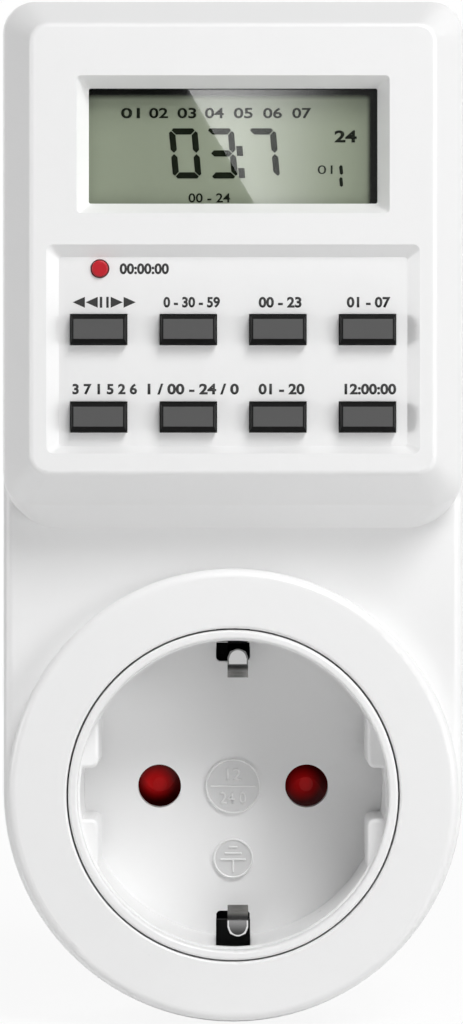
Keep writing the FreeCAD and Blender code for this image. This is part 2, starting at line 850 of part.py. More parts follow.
    def key_holes(drawing):
        for _, x, z in key_places():
            drawing.box(x - half_hole, x + half_hole, z - tall_hole, z + tall_hole)
        drawing.circle(-size.reset_x, size.reset_z, size.reset_radius + size.reset_gap)

    cut_slab(body, key_holes, ceiling(), panel_front())
    return body


def is_flange_hole(point):
    reach = math.hypot(point.x, point.z)
    return reach < size.flange_hole_radius.value + 0.01


def ceiling():
    """Front of the pod's inner space: the window's bevel ends there."""
    return size.pod_front - size.window_depth


def panel_front():
    return size.pod_front - size.panel_depth


def control_front():
    return size.control_board_back + size.board_thickness


def power_front():
    return size.power_board_back + size.board_thickness


def floor_front():
    return size.flange_front - size.recess_depth


def floor_back():
    return floor_front() - size.floor_thickness


def cup_seat():
    """Where the cup's side lugs meet the end of the front shell's tube."""
    return floor_back() + size.cup_lug_height


def rear_inside():
    return size.rear_plane + size.rear_wall


def build_rear_case():
    """Rear shell with the hollow plug body, its guide flats and its earth grooves."""
    body = new_body("rear_case")
    wall = size.case_wall
    add_slab(body, lambda d: d.case_outline(0), size.rear_plane, size.parting_front)
    soften(body, size.rear_round, at_front(size.rear_plane))
    add_slab(body, circles([(0, 0)], size.plug_radius), 0, rear_inside())
    reach = size.plug_radius + size.cut_spare

    def guide_flats(drawing):
        for side in CASE_SIDES:
            for level in CASE_SIDES:
                xs = in_order(size.plug_flat * side, reach * side)
                zs = in_order(size.plug_key_half * level, reach * level)
                drawing.box(*xs, *zs)

    cut_slab(body, guide_flats, 0, size.rear_plane)

    def key_ends(drawing):
        for side in CASE_SIDES:
            xs = in_order(size.plug_key_reach * side, reach * side)
            drawing.box(*xs, -size.plug_key_trim_half, size.plug_key_trim_half)

    cut_slab(body, key_ends, 0, size.rear_plane)
    groove_floor = size.plug_radius - size.earth_groove_depth
    groove = size.earth_strip_width / 2 + size.earth_groove_side_gap

    def earth_grooves(drawing):
        for side in CASE_SIDES:
            zs = in_order(groove_floor * side, reach * side)
            drawing.box(-groove, groove, *zs)

    cut_slab(body, earth_grooves, 0, size.rear_plane)
    soften(body, size.plug_round, at_front(0))
    cut_slab(body, lambda d: d.case_outline(wall), rear_inside(), size.parting_front)
    slot_end = groove_floor + size.earth_strip_thickness + size.earth_slot_gap

    def earth_slots(drawing):
        for side in CASE_SIDES:
            zs = in_order(groove_floor * side, slot_end * side)
            drawing.box(-groove, groove, *zs)

    cut_slab(body, earth_slots, size.rear_plane - size.cut_spare, rear_inside())
    cut_slab(body, circles([(0, 0)], size.plug_bore_radius), size.plug_face_wall, rear_inside())
    add_slab(body, circles(case_screw_places(), size.rear_post_radius), size.rear_plane + size.cut_spare,
             size.parting_front)
    add_slab(body, circles(power_stand_places(), size.stand_radius), size.rear_plane + size.cut_spare,
             size.power_board_back)
    pins = [(size.pin_offset * side, 0) for side in CASE_SIDES]
    cut_slab(body, circles(pins, size.pin_shank_radius + size.pin_fit), 0, size.plug_face_wall)
    cut_slab(body, circles(case_screw_places(), size.screw_head_radius + size.head_hole_gap),
             size.rear_plane - size.cut_spare, size.case_screw_seat)
    cut_slab(body, circles(case_screw_places(), size.screw_radius + size.screw_hole_gap),
             size.case_screw_seat - size.cut_spare, size.parting_front)
    cut_slab(body, circles(power_stand_places(), size.board_screw_radius + size.screw_gap),
             power_front() - size.board_screw_length - size.screw_hole_spare, size.power_board_back)

    def lip(drawing):
        drawing.case_outline(wall / 2 + size.lip_gap)
        drawing.case_outline(wall)

    add_slab(body, lip, size.parting_front - size.lip_height, size.parting_front + size.lip_height)
    return body


def is_inside_recess(point):
    return math.hypot(point.x, point.z) < size.recess_radius.value - 0.01


def build_socket_insert():
    """The socket's cup: floor with pin holes, guide ribs, earth slots and the shutter's pivot."""
    body = new_body("socket_insert")
    outer = size.flange_hole_radius - size.rim_gap
    add_slab(body, circles([(0, 0)], outer), floor_back(), size.flange_front)
    land = size.flange_front - size.mouth_land
    cut_slab(body, circles([(0, 0)], size.mouth_radius), land, size.flange_front)
    cut_slab(body, circles([(0, 0)], size.recess_radius), floor_front(), land)
    soften(body, size.rim_round, at_front(size.flange_front))

    def ribs(drawing):
        for side in CASE_SIDES:
            for level in CASE_SIDES:
                drawing.rib(side, level)

    rib_front = size.flange_front - size.rib_below_rim
    add_slab(body, ribs, floor_front() - size.cut_spare, rib_front)
    soften(body, size.rib_corner, along_axis(size.rib_face, size.rib_gap_half))
    soften(body, size.rib_top_round, at_front(rib_front, is_inside_recess))
    disc_front = floor_front() + size.disc_relief
    add_slab(body, circles([(0, 0)], size.centre_disc_radius), floor_front() - size.cut_spare, disc_front)
    add_slab(body, circles([(0, -size.earth_disc_drop)], size.earth_disc_radius),
             floor_front() - size.cut_spare, disc_front)
    pins = [(size.pin_offset * side, 0) for side in CASE_SIDES]
    cut_slab(body, circles(pins, size.pin_hole_radius), floor_back(), floor_front())
    half = size.earth_slot_half_width
    for side in CASE_SIDES:
        zs = in_order(size.earth_slot_inner * side, (outer + size.cut_spare) * side)
        cut_slab(body, lambda d: d.box(-half, half, *zs), floor_back(),
                 size.flange_front - size.earth_slot_below_rim)
    soften(body, size.earth_slot_corner, along_axis(half, size.earth_slot_inner))
    for side in CASE_SIDES:
        xs = in_order(size.mouth_radius * side, size.cup_lug_reach * side)
        add_slab(body, lambda d: d.box(*xs, -size.cup_lug_half, size.cup_lug_half),
                 floor_back(), cup_seat())
    cut_slab(body, circles([(0, 0)], size.recess_radius), disc_front, floor_front() + size.cut_spare)
    add_slab(body, circles([(0, 0)], size.pivot_radius),
             carrier_back() + size.shutter_gap, floor_back() + size.cut_spare)
    return body


def earth_stack():
    """Front of the two earth strips' cross bars, one on the other on the rear wall."""
    return rear_inside() + size.earth_strip_thickness * 2


def carrier_back():
    return earth_stack()


def carrier_front():
    """Face of the carrier's plate, behind the shutter."""
    return floor_back() - size.shutter_thickness - size.shutter_gap * 2


def build_shutter():
    """Two-ended red shutter, dished under the pin holes, that turns aside when both pins push on it."""
    body = new_body("shutter")
    back = carrier_front() + size.shutter_gap
    front = back + size.shutter_thickness
    reach, half = size.shutter_reach, size.shutter_half_width
    add_slab(body, lambda d: d.round_box(-reach, reach, -half, half, size.shutter_end_round), back, front)
    add_slab(body, circles([(0, 0)], size.shutter_hub_radius), back, front)
    cut_slab(body, circles([(0, 0)], size.pivot_radius + size.pivot_gap), back, front)
    inner = size.pin_offset - size.pin_hole_radius - size.shutter_gap
    edge = back + size.shutter_ramp_edge
    spare = size.cut_spare
    for side in CASE_SIDES:
        hole = [(size.pin_offset * side, 0)]
        loft(body, "SubtractiveLoft", [
            (front, circles(hole, size.shutter_dish_radius)),
            (front - size.shutter_dish_depth, circles(hole, size.shutter_dish_foot)),
        ])
        points = [
            (-front, -size.shutter_ramp_start * side),
            (-edge, half * side),
            (-edge, (half + spare) * side),
            (-(front + spare), (half + spare) * side),
            (-(front + spare), -size.shutter_ramp_start * side),
        ]
        low, high = (inner, reach + spare) if side > 0 else (-reach - spare, -inner)
        cut_slab(body, lambda d: d.path(points), low, high, plane="YZ_Plane")
    return body


def build_shutter_carrier():
    """Plate behind the shutter: it bears the pivot's end, the spring and the contact sleeves."""
    body = new_body("shutter_carrier")
    front = carrier_front()
    plate_back = front - size.carrier_plate
    hub = size.spring_well_radius + size.carrier_hub_wall
    add_slab(body, circles([(0, 0)], size.carrier_radius), plate_back, front)
    add_slab(body, circles([(0, 0)], hub), carrier_back(), front)
    add_slab(body, ring(size.carrier_radius, size.carrier_radius - size.carrier_wall),
             plate_back, floor_back())
    cut_slab(body, circles([(0, 0)], size.spring_well_radius),
             carrier_back() + size.carrier_hub_wall, front)
    cut_slab(body, circles([(0, 0)], size.pivot_radius + size.pivot_gap), carrier_back(), front)
    sleeves = [(size.pin_offset * side, 0) for side in CASE_SIDES]
    cut_slab(body, circles(sleeves, size.sleeve_mouth_radius + size.sleeve_hole_gap),
             plate_back, front)
    return body


def build_shutter_spring():
    """Small coil round the pivot, in the carrier's well."""
    body = new_body("shutter_spring")
    start = carrier_back() + size.carrier_hub_wall + size.spring_wire
    section = sketch_on(body, "YZ_Plane", 0, lambda d: d.circle(
        -start, size.spring_radius, size.spring_wire / 2))
    coil = body.newObject("PartDesign::AdditiveHelix", "shutter_spring_coil")
    coil.Profile = section
    coil.ReferenceAxis = (origin_item(body, "Y_Axis"), [""])
    coil.Mode = "pitch-turns-angle"
    tie(coil, "Pitch", size.spring_pitch)
    tie(coil, "Turns", size.spring_turns)
    coil.Reversed = True
    return body


def sleeve_front():
    return carrier_front() - size.sleeve_front_gap


def build_socket_contact(label, side, back):
    """Slotted sleeve with a flared mouth behind one pin hole."""
    body = new_body(label, x=size.pin_offset * side)
    front = sleeve_front()
    flare = front - size.sleeve_mouth_height
    outer, wall, mouth = size.sleeve_radius, size.sleeve_wall, size.sleeve_mouth_radius
    revolve(body, [
        (back, 0), (back, outer), (flare, outer), (front, mouth),
        (front, mouth - wall), (flare, outer - wall), (back + size.sleeve_floor, outer - wall),
        (back + size.sleeve_floor, 0),
    ])
    half = size.sleeve_slot / 2
    reach = mouth + size.cut_spare
    cut_slab(body, lambda d: d.box(-half, half, -reach, reach),
             front - size.sleeve_slot_length, front)
    return body


def build_plug_pin(label, side):
    """One plug pin with a domed tip and a collar behind the plug's face."""
    body = new_body(label, x=size.pin_offset * side)
    tip = -size.pin_length
    radius, shank, rear = size.pin_radius, size.pin_shank_radius, size.pin_rear_radius
    wall, collar_radius = size.plug_face_wall, size.pin_collar_radius
    collar = wall + size.pin_collar_height
    revolve(body, [
        (tip, 0), (tip, radius), (0, radius), (0, shank), (wall, shank), (wall, collar_radius),
        (collar, collar_radius), (collar, rear), (size.pin_inner_end, rear), (size.pin_inner_end, 0),
    ])
    soften(body, size.pin_tip_round, at_front(tip))
    return body


def build_plug_earth_strip():
    """U-shaped strip: both side contacts of the plug and the bar that joins them."""
    body = new_body("plug_earth_strip")
    thick, half = size.earth_strip_thickness, size.earth_strip_width / 2
    level = size.plug_radius - size.earth_groove_depth + size.earth_groove_gap + thick / 2
    bar = rear_inside() + thick / 2
    tip = size.earth_strip_tip
    bend_strip(body, "XZ_Plane", tip,
               lambda d: d.box(-half, half, level - thick / 2, level + thick / 2),
               [(tip, level), (bar, level), (bar, -level), (tip, -level)])
    return body


def build_socket_earth_spring():
    """Bent spring strip whose two ends press on a plug's side contacts in the recess."""
    body = new_body("socket_earth_spring", x=size.earth_spring_shift)
    thick, half = size.earth_spring_thickness, size.earth_spring_width / 2
    bar = earth_stack() - size.earth_strip_thickness + thick / 2
    tip_front = size.flange_front - size.earth_spring_tip_depth
    bump_front = size.flange_front - size.earth_spring_bump_depth
    tip, bump, riser = size.earth_spring_tip, size.earth_spring_bump, size.earth_spring_riser
    bend_low = floor_front() + size.floor_thickness
    knee = (size.flange_front - size.earth_spring_knee_depth, size.earth_spring_knee)
    start = tip_front - size.earth_spring_hook
    upper = [
        (start, tip), (tip_front, tip), knee, (bump_front + thick, bump),
        (bump_front - thick, bump), (bend_low, riser), (bar, riser),
    ]
    lower = [(front, -z) for front, z in reversed(upper)]
    bend_strip(body, "XZ_Plane", start,
               lambda d: d.box(-half, half, tip - thick / 2, tip + thick / 2), upper + lower)
    corner, spare, end = size.earth_spring_corner, size.cut_spare, tip + thick / 2
    shoulder = corner - corner * root_of(Term(0.5))
    for side in CASE_SIDES:
        for level in CASE_SIDES:
            points = [(half + spare, end - corner), (half, end - corner), (half - shoulder, end - shoulder),
                      (half - corner, end), (half - corner, end + spare), (half + spare, end + spare)]
            points = [(x * side, z * level) for x, z in points]
            cut_slab(body, lambda d: d.path(points), start - spare, tip_front + spare)
    return body


def build_bar(label, x, width, level, end):
    """Copper bar from a pin or sleeve up behind the carrier to the power board."""
    body = new_body(label, x=x)
    thick, half = size.bar_thickness, width / 2
    run = size.power_board_back - thick / 2
    middle = level + thick / 2
    bend_strip(body, "XY_Plane", size.bar_start,
               lambda d: d.box(-half, half, -middle - thick / 2, -middle + thick / 2),
               [(middle, size.bar_start), (middle, size.bar_riser), (run, size.bar_riser), (run, end)])
    return body


def board_outline(half, low, high):
    return lambda drawing: drawing.round_box(-half, half, low, high, size.board_corner)


def build_power_board():
    body = new_body("power_board")
    half, back = size.power_board_half_width, size.power_board_back
    add_slab(body, board_outline(half, size.power_board_low, size.power_board_high), back, power_front())
    cut_slab(body, circles(power_stand_places(), size.board_screw_radius + size.screw_hole_gap),
             back, power_front())
    return body


def build_control_board():
    body = new_body("control_board")
    half, back = size.control_board_half_width, size.control_board_back
    add_slab(body, board_outline(half, size.control_board_low, size.control_board_high),
             back, control_front())
    cut_slab(body, circles(control_post_places(), size.board_screw_radius + size.screw_hole_gap),
             back, control_front())
    return body


def build_display_window():
    """Clear window bonded behind the bevelled opening."""
    body = new_body("display_window", z=size.window_centre)
    half = size.window_glass_half_width + size.lens_margin
    tall = size.window_glass_half_height + size.lens_margin
    add_slab(body, lambda d: d.round_box(-half, half, -tall, tall, size.window_corner),
             ceiling() - size.lens_thickness, ceiling())
    return body


def lcd_front():
    return ceiling() - size.lens_thickness - size.lcd_gap


def lcd_half_sizes():
    half = size.window_glass_half_width + size.lcd_margin
    return half, size.window_glass_half_height + size.lcd_margin_tall


def build_lcd_glass():
    """Display cell: a rear plate and a shorter front plate that leaves the contact ledges bare."""
    body = new_body("lcd_glass", z=size.window_centre)
    half, tall = lcd_half_sizes()
    middle = lcd_front() - size.lcd_thickness / 2
    ledge = size.zebra_width / 2
    add_slab(body, lambda d: d.box(-half, half, -tall, tall), lcd_front() - size.lcd_thickness, middle)
    add_slab(body, lambda d: d.box(-half, half, -tall + ledge, tall - ledge), middle, lcd_front())
    return body


def build_lcd_frame():
    """Open frame that holds the display cell over the control board."""
    body = new_body("lcd_frame", z=size.window_centre)
    half, tall = lcd_half_sizes()
    gap, wall = size.lcd_gap / 2, size.lcd_frame_wall
    outer_half, outer_tall = half + gap + wall, tall + gap + wall

    def frame_outline(drawing):
        drawing.round_box(-outer_half, outer_half, -outer_tall, outer_tall, size.board_corner)
        drawing.box(-half - gap, half + gap, -tall - gap, tall + gap)

    add_slab(body, frame_outline, control_front(), lcd_front())
    return body


def build_zebra_connectors():
    """Two rubber strips that carry the signals from the board to the display cell."""
    half, tall = lcd_half_sizes()
    strips = []
    for side, label in ((-1, "lower_zebra"), (1, "upper_zebra")):
        middle = (tall - size.zebra_inset - size.zebra_width / 2) * side
        strip = new_body(label, z=size.window_centre + middle)
        width = size.zebra_width / 2
        add_slab(strip, lambda d: d.box(-half + size.lcd_margin, half - size.lcd_margin, -width, width),
                 control_front(), lcd_front() - size.lcd_thickness)
        strips.append(strip)
    return group("zebra_connectors", strips)


def key_flange_front():
    return ceiling() - size.key_flange_gap


def key_back():
    return key_flange_front() - size.key_flange_height


def build_key(label, x, z):
    """One key: bevelled cap, straight sides through the panel and a flange that stops it."""
    body = new_body(label, x=x, z=z)
    half, tall = size.key_width / 2, size.key_height / 2
    flange = size.key_flange
    front = panel_front() + size.key_stand
    shoulder = front - size.key_bevel_height
    top_half, top_tall = size.key_top_width / 2, size.key_top_height / 2
    add_slab(body, lambda d: d.box(-half - flange, half + flange, -tall - flange, tall + flange),
             key_back(), key_flange_front())
    add_slab(body, lambda d: d.box(-half, half, -tall, tall), key_back(), shoulder)
    loft(body, "AdditiveLoft", [
        (shoulder, lambda d: d.box(-half, half, -tall, tall)),
        (front, lambda d: d.box(-top_half, top_half, -top_tall, top_tall)),
    ])
    return body


def build_reset_button():
    body = new_body("reset_button", x=-size.reset_x, z=size.reset_z)
    radius = size.reset_radius
    front = panel_front() + size.reset_stand
    back = key_back()
    revolve(body, [
        (back, 0), (back, radius + size.reset_flange), (key_flange_front(), radius + size.reset_flange),
        (key_flange_front(), radius), (front, radius), (front, 0),
    ])
    soften(body, size.reset_round, at_front(front))
    return body


def build_reset_switch():
    """Small press switch under the reset button, with room for the button's travel."""
    body = new_body("reset_switch", x=-size.reset_x, z=size.reset_z)
    half = size.switch_side / 2
    top = control_front() + size.switch_height
    add_slab(body, lambda d: d.round_box(-half, half, -half, half, size.part_corner), control_front(), top)
    add_slab(body, circles([(0, 0)], size.switch_pip_radius), top - size.switch_gap,
             key_back() - size.reset_travel - size.switch_gap)
    return body


def build_keypad_mat():
    """Silicone mat with one hollow dome under each key."""
    body = new_body("keypad_mat")
    back = control_front()
    sheet = back + size.mat_sheet
    half = size.key_pitch * KEY_COLUMNS[0] + size.dome_base_radius + size.mat_sheet
    low = size.key_row_low - size.dome_base_radius - size.mat_sheet
    high = size.key_row_high + size.dome_base_radius + size.mat_sheet
    add_slab(body, lambda d: d.round_box(-half, half, low, high, size.board_corner), back, sheet)
    posts = control_post_places()[:2]
    cut_slab(body, circles(posts, size.post_radius + size.post_gap), back, sheet)
    top = key_back() - size.dome_gap
    for _, x, z in key_places():
        loft(body, "AdditiveLoft", [
            (sheet, circles([(x, z)], size.dome_base_radius)),
            (top, circles([(x, z)], size.dome_top_radius)),
        ])
    hollows = [(x, z) for _, x, z in key_places()]
    cut_slab(body, circles(hollows, size.dome_top_radius - size.dome_wall / 2), back,
             top - size.dome_wall)
    return body


def build_relay():
    """Sealed mains relay with a stepped base and five leads through the power board."""
    body = new_body("relay", x=size.relay_x, z=size.relay_z)
    half, tall = size.relay_width / 2, size.relay_length / 2
    base = power_front() + size.part_stand
    top = power_front() + size.relay_height
    add_slab(body, lambda d: d.round_box(-half, half, -tall, tall, size.part_corner), base, top)
    soften(body, size.part_corner, at_front(top))
    inset = size.relay_lead_inset
    leads = [(0, -tall + inset)]
    leads += [((half - inset) * side, (tall - inset) * level) for side, level in ((-1, 1), (1, 1), (1, -1))]
    leads.append(((-half + inset), -tall + inset))
    add_slab(body, circles(leads, size.lead_radius), power_front(), base + size.part_stand)
    return body


def build_film_capacitor():
    body = new_body("film_capacitor", x=size.film_x, z=size.film_z)
    half, tall = size.film_length / 2, size.film_width / 2
    base, top = power_front() + size.part_stand, power_front() + size.film_height
    add_slab(body, lambda d: d.round_box(-half, half, -tall, tall, size.part_corner), base, top)
    soften(body, size.part_corner, at_front(top))
    leads = [(size.film_pitch / 2 * side, 0) for side in CASE_SIDES]
    add_slab(body, circles(leads, size.lead_radius), power_front(), base + size.part_stand)
    return body


def build_smoothing_capacitor():
    """Upright can with a rolled groove above its base and a dished top."""
    body = new_body("smoothing_capacitor", x=size.can_x, z=size.can_z)
    radius = size.can_radius
    base, top = power_front(), power_front() + size.can_height
    groove = size.can_groove
    middle = base + size.can_groove_rise
    rim = radius - size.can_dish_rim
    dish = top - size.can_dish_depth
    revolve(body, [
        (base, 0), (base, radius), (middle - groove, radius), (middle, radius - groove),
        (middle + groove, radius), (top, radius), (top, rim), (dish, rim - size.can_dish_wall), (dish, 0),
    ])
    return body


def build_varistor():
    """Coated disc on two leads, edge-on to the viewer."""
    body = new_body("varistor", x=size.varistor_x, z=size.varistor_z)
    half, radius = size.varistor_width / 2, size.varistor_radius
    middle = power_front() + size.varistor_stand + radius
    add_slab(body, lambda d: d.circle(-middle, 0, radius), -half, half, plane="YZ_Plane")
    soften(body, size.varistor_round, lambda edge: True)
    leads = [(0, size.varistor_pitch / 2 * side) for side in CASE_SIDES]
    add_slab(body, circles(leads, size.lead_radius), power_front(), middle)
    return body


def build_fuse_resistor():
    """Barrel resistor lying on the board on two bent leads."""
    body = new_body("fuse_resistor", x=size.fuse_x, z=size.fuse_z)
    half, wire = size.fuse_length / 2, size.lead_radius
    middle = power_front() + size.fuse_radius + size.part_stand
    reach = half + size.fuse_lead_reach
    bend_strip(body, "XZ_Plane", power_front(), lambda d: d.circle(0, reach, wire),
               [(power_front(), reach), (middle, reach), (middle, -reach), (power_front(), -reach)])
    add_slab(body, lambda d: d.circle(0, -middle, size.fuse_radius), -half, half, plane="XY_Plane")
    return body


def build_regulator_chips():
    """Rectifier, regulator and driver, side by side on the power board."""
    chips = []
    for number, column in enumerate((-1, 0, 1), 1):
        chip = new_body(f"chip_{number}", x=size.chip_pitch * column, z=size.chip_z)
        half, tall = size.chip_width / 2, size.chip_length / 2
        add_slab(chip, lambda d: d.box(-half, half, -tall, tall), power_front(),
                 power_front() + size.chip_height)
        soften(chip, size.chip_chamfer, at_front(power_front() + size.chip_height), kind="Chamfer")
        chips.append(chip)
    return group("regulator_chips", chips)


def bar_places():
    """Name, X, width and pin level of each copper bar."""
    split = size.split_bar_width
    live = -size.pin_offset
    upper = size.pin_inner_end + size.sleeve_lift - size.bar_thickness
    return [
        ("live_bar", live - size.split_bar_shift, split, size.pin_inner_end),
        ("switched_bar", live + size.split_bar_shift, split, upper),
        ("neutral_bar", size.pin_offset, size.bar_width, size.pin_inner_end),
    ]


def build_terminal_joints():
    """Solder domes where the copper bars come through the power board."""
    joints = []
    for name, x, _, _ in bar_places():
        joint = new_body(f"{name}_joint", x=x, z=size.bar_end - size.solder_radius)
        base = power_front()
        shoulder, top = base + size.solder_height / 2, base + size.solder_height
        revolve(joint, [
            (base, 0), (base, size.solder_radius), (shoulder, size.solder_shoulder_radius),
            (top, size.solder_tip_radius), (top, 0),
        ])
        joints.append(joint)
    return group("terminal_joints", joints)


def build_backup_battery():
    body = new_body("backup_battery", x=size.battery_x, z=size.battery_z)
    front = size.control_board_back - size.part_stand
    radius = size.battery_radius
    back = front - size.battery_height
    edge, crimp = size.battery_edge, size.battery_crimp
    lid = radius - crimp
    revolve(body, [
        (back, 0), (back, radius - edge), (back + edge, radius), (front - crimp - edge, radius),
        (front - crimp, lid), (front, lid), (front, 0),
    ])
    return body


def build_battery_clip():
    """Bent strap that holds the cell against the control board's back."""
    body = new_body("battery_clip", x=size.battery_x, z=size.battery_z)
    thick, half = size.clip_thickness, size.clip_width / 2
    board = size.control_board_back
    reach = size.battery_radius + size.clip_gap + thick / 2
    back = board - size.part_stand - size.battery_height - thick / 2
    foot = board - thick / 2
    end = reach + size.clip_foot
    bend_strip(body, "XY_Plane", -end,
               lambda d: d.box(-half, half, -foot - thick / 2, -foot + thick / 2),
               [(foot, -end), (foot, -reach), (back, -reach), (back, reach), (foot, reach), (foot, end)])
    return body


def build_controller_chip():
    body = new_body("controller_chip", x=size.controller_x, z=size.controller_z)
    half, board = size.controller_side / 2, size.control_board_back
    add_slab(body, lambda d: d.box(-half, half, -half, half), board - size.controller_height, board)
    soften(body, size.controller_chamfer, at_front(board - size.controller_height), kind="Chamfer")
    return body


def build_crystal():
    """Timekeeping crystal in its small can, lying on the control board's back."""
    body = new_body("crystal", x=size.crystal_x, z=size.crystal_z)
    middle = size.control_board_back - size.crystal_radius
    half = size.crystal_length / 2
    add_slab(body, lambda d: d.circle(0, -middle, size.crystal_radius), -half, half, plane="XY_Plane")
    soften(body, size.crystal_round, lambda edge: edge.BoundBox.ZLength < 0.01)
    return body


def build_board_link():
    """Ribbon between the two boards, with one easy bow."""
    body = new_body("board_link", x=size.link_x, z=size.link_z)
    thick, half = size.link_thickness, size.link_width / 2
    back, front = power_front(), size.control_board_back
    bow = size.link_bow
    fifth = (front - back) / 5
    bend_strip(body, "XZ_Plane", back,
               lambda d: d.box(-half, half, -thick / 2, thick / 2),
               [(back, 0), (back + fifth, 0), (back + fifth * 2, -bow), (back + fifth * 3, -bow),
                (front - fifth, 0), (front, 0)])
    return body


def build_screw(label, place, seat, length, radius, head_radius, head_height, heads_back):
    """A pan-head screw with a cross slot; its head lies behind or in front of the seat."""
    body = new_body(label, x=place[0], z=place[1])
    way = 1 if heads_back else -1
    crown = seat - head_height * way
    neck = crown + head_height * size.screw_crown_height_share * way
    tip = seat + length * way
    revolve(body, [
        (crown, 0), (crown, head_radius * size.screw_crown_width_share), (neck, head_radius),
        (seat, head_radius), (seat, radius), (tip - radius * way, radius),
        (tip, radius * size.screw_tip_width_share), (tip, 0),
    ])
    slot, depth = size.screw_slot / 2, head_height * size.screw_slot_depth_share
    arm = head_radius * size.screw_slot_reach_share
    low, high = in_order(crown - size.cut_spare * way, crown + depth * way)
    cut_slab(body, lambda d: d.box(-arm, arm, -slot, slot), low, high)
    cut_slab(body, lambda d: d.box(-slot, slot, -arm, arm), low, high)
    return body


def build_case_screws():
    screws = [
        build_screw(f"case_screw_{number}", place, size.case_screw_seat, size.case_screw_length,
                    size.screw_radius, size.screw_head_radius, size.screw_head_height, True)
        for number, place in enumerate(case_screw_places(), 1)
    ]
    return group("case_screws", screws)


def build_board_screws():
    """Screws of the power board, driven from the front, and of the control board, from behind."""
    shape = (size.board_screw_length, size.board_screw_radius, size.board_screw_head_radius,
             size.board_screw_head_height)
    screws = [
        build_screw(f"power_screw_{number}", place, power_front(), *shape, False)
        for number, place in enumerate(power_stand_places(), 1)
    ]
    screws += [
        build_screw(f"control_screw_{number}", place, size.control_board_back, *shape, True)
        for number, place in enumerate(control_post_places(), 1)
    ]
    return group("board_screws", screws)


def group(label, members):
    """Identical or paired loose pieces that share one node as separate solids."""
    item = document.addObject("Part::Compound", label)
    item.Label = label
    item.Links = members
    return item


def build_all():
    nodes = [
        build_front_case(),
        build_rear_case(),
        build_socket_insert(),
        build_shutter(),
        build_shutter_carrier(),
        build_shutter_spring(),
        build_plug_earth_strip(),
        build_socket_earth_spring(),
        build_power_board(),
        build_control_board(),
        build_display_window(),
        build_lcd_glass(),
        build_lcd_frame(),
        build_zebra_connectors(),
        build_reset_button(),
        build_reset_switch(),
        build_keypad_mat(),
        build_relay(),
        build_film_capacitor(),
        build_smoothing_capacitor(),
        build_varistor(),
        build_fuse_resistor(),
        build_regulator_chips(),
        build_terminal_joints(),
        build_backup_battery(),
        build_battery_clip(),
        build_controller_chip(),
        build_crystal(),
        build_board_link(),
        build_case_screws(),
        build_board_screws(),
    ]
    live_sleeve = size.pin_inner_end + size.sleeve_lift
    neutral_sleeve = size.pin_inner_end + size.bar_thickness
    nodes.append(build_socket_contact("socket_contact_live", -1, live_sleeve))
    nodes.append(build_socket_contact("socket_contact_neutral", 1, neutral_sleeve))
    nodes.append(build_plug_pin("plug_pin_live", -1))
    nodes.append(build_plug_pin("plug_pin_neutral", 1))
    nodes += [build_bar(name, x, width, level, size.bar_end) for name, x, width, level in bar_places()]
    nodes += [build_key(name, x, z) for name, x, z in key_places()]
    return nodes


def check_states():
    """Stops at a feature that failed."""
    for item in document.Objects:
        if "Invalid" in item.State or "Error" in item.State:
            raise RuntimeError(f"{item.Label} failed: {item.State} {item.getStatusString()}")


def check_all(nodes):
    """Stops before anything is written if a feature failed or a cut missed."""
    check_states()
    for cut in cuts:
        if cut.Shape.Volume > cut.BaseFeature.Shape.Volume - 0.001:
            raise RuntimeError(f"{cut.Label} cuts nothing")
    for node in nodes:
        if node.Shape.isNull() or not node.Shape.isValid():
            raise RuntimeError(f"{node.Label} has no valid shape")


def write_all(nodes):
    os.makedirs("parts", exist_ok=True)
    for node in nodes:
        node.Shape.exportStep(f"parts/{node.Label}.step")
        box = node.Shape.BoundBox
        print(f"{node.Label:24s} solids {len(node.Shape.Solids)} volume {node.Shape.Volume:10.2f}"
              f" x {box.XMin:7.2f} {box.XMax:7.2f} y {box.YMin:7.2f} {box.YMax:7.2f}"
              f" z {box.ZMin:7.2f} {box.ZMax:7.2f}")


cuts = []
document = FreeCAD.newDocument("timer")
size = Sheet(document, SIZES)
parts = build_all()
document.recompute()
check_all(parts)
write_all(parts)
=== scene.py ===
"""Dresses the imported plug-in timer: finishes, printed marks, display contents, lights and camera."""

import json
import math

import bmesh
import bpy
from bpy.props import FloatProperty, FloatVectorProperty, PointerProperty
from mathutils import Matrix, Vector


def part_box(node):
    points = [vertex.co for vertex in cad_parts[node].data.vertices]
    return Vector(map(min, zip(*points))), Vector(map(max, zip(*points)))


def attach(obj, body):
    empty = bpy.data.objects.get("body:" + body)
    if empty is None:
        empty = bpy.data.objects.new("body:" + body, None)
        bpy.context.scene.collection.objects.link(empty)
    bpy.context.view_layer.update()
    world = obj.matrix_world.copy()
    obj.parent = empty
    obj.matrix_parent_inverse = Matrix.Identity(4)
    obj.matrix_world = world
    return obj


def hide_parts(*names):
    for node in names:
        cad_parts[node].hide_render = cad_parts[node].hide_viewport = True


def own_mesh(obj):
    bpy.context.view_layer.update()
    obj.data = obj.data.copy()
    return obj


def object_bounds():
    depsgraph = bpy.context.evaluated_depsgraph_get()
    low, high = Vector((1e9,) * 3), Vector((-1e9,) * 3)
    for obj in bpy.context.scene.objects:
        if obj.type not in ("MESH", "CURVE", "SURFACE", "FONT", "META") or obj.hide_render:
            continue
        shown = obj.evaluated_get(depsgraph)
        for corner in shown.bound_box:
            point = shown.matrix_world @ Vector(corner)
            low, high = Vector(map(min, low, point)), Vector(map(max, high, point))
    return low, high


bl_info = {
    "name": "Plug-in Timer Dressing",
    "version": (1, 0, 0),
    "blender": (4, 5, 0),
    "location": "View3D > Sidebar > Timer",
    "description": "Finishes, printed marks, display contents and studio for the plug-in timer",
    "category": "Object",
}

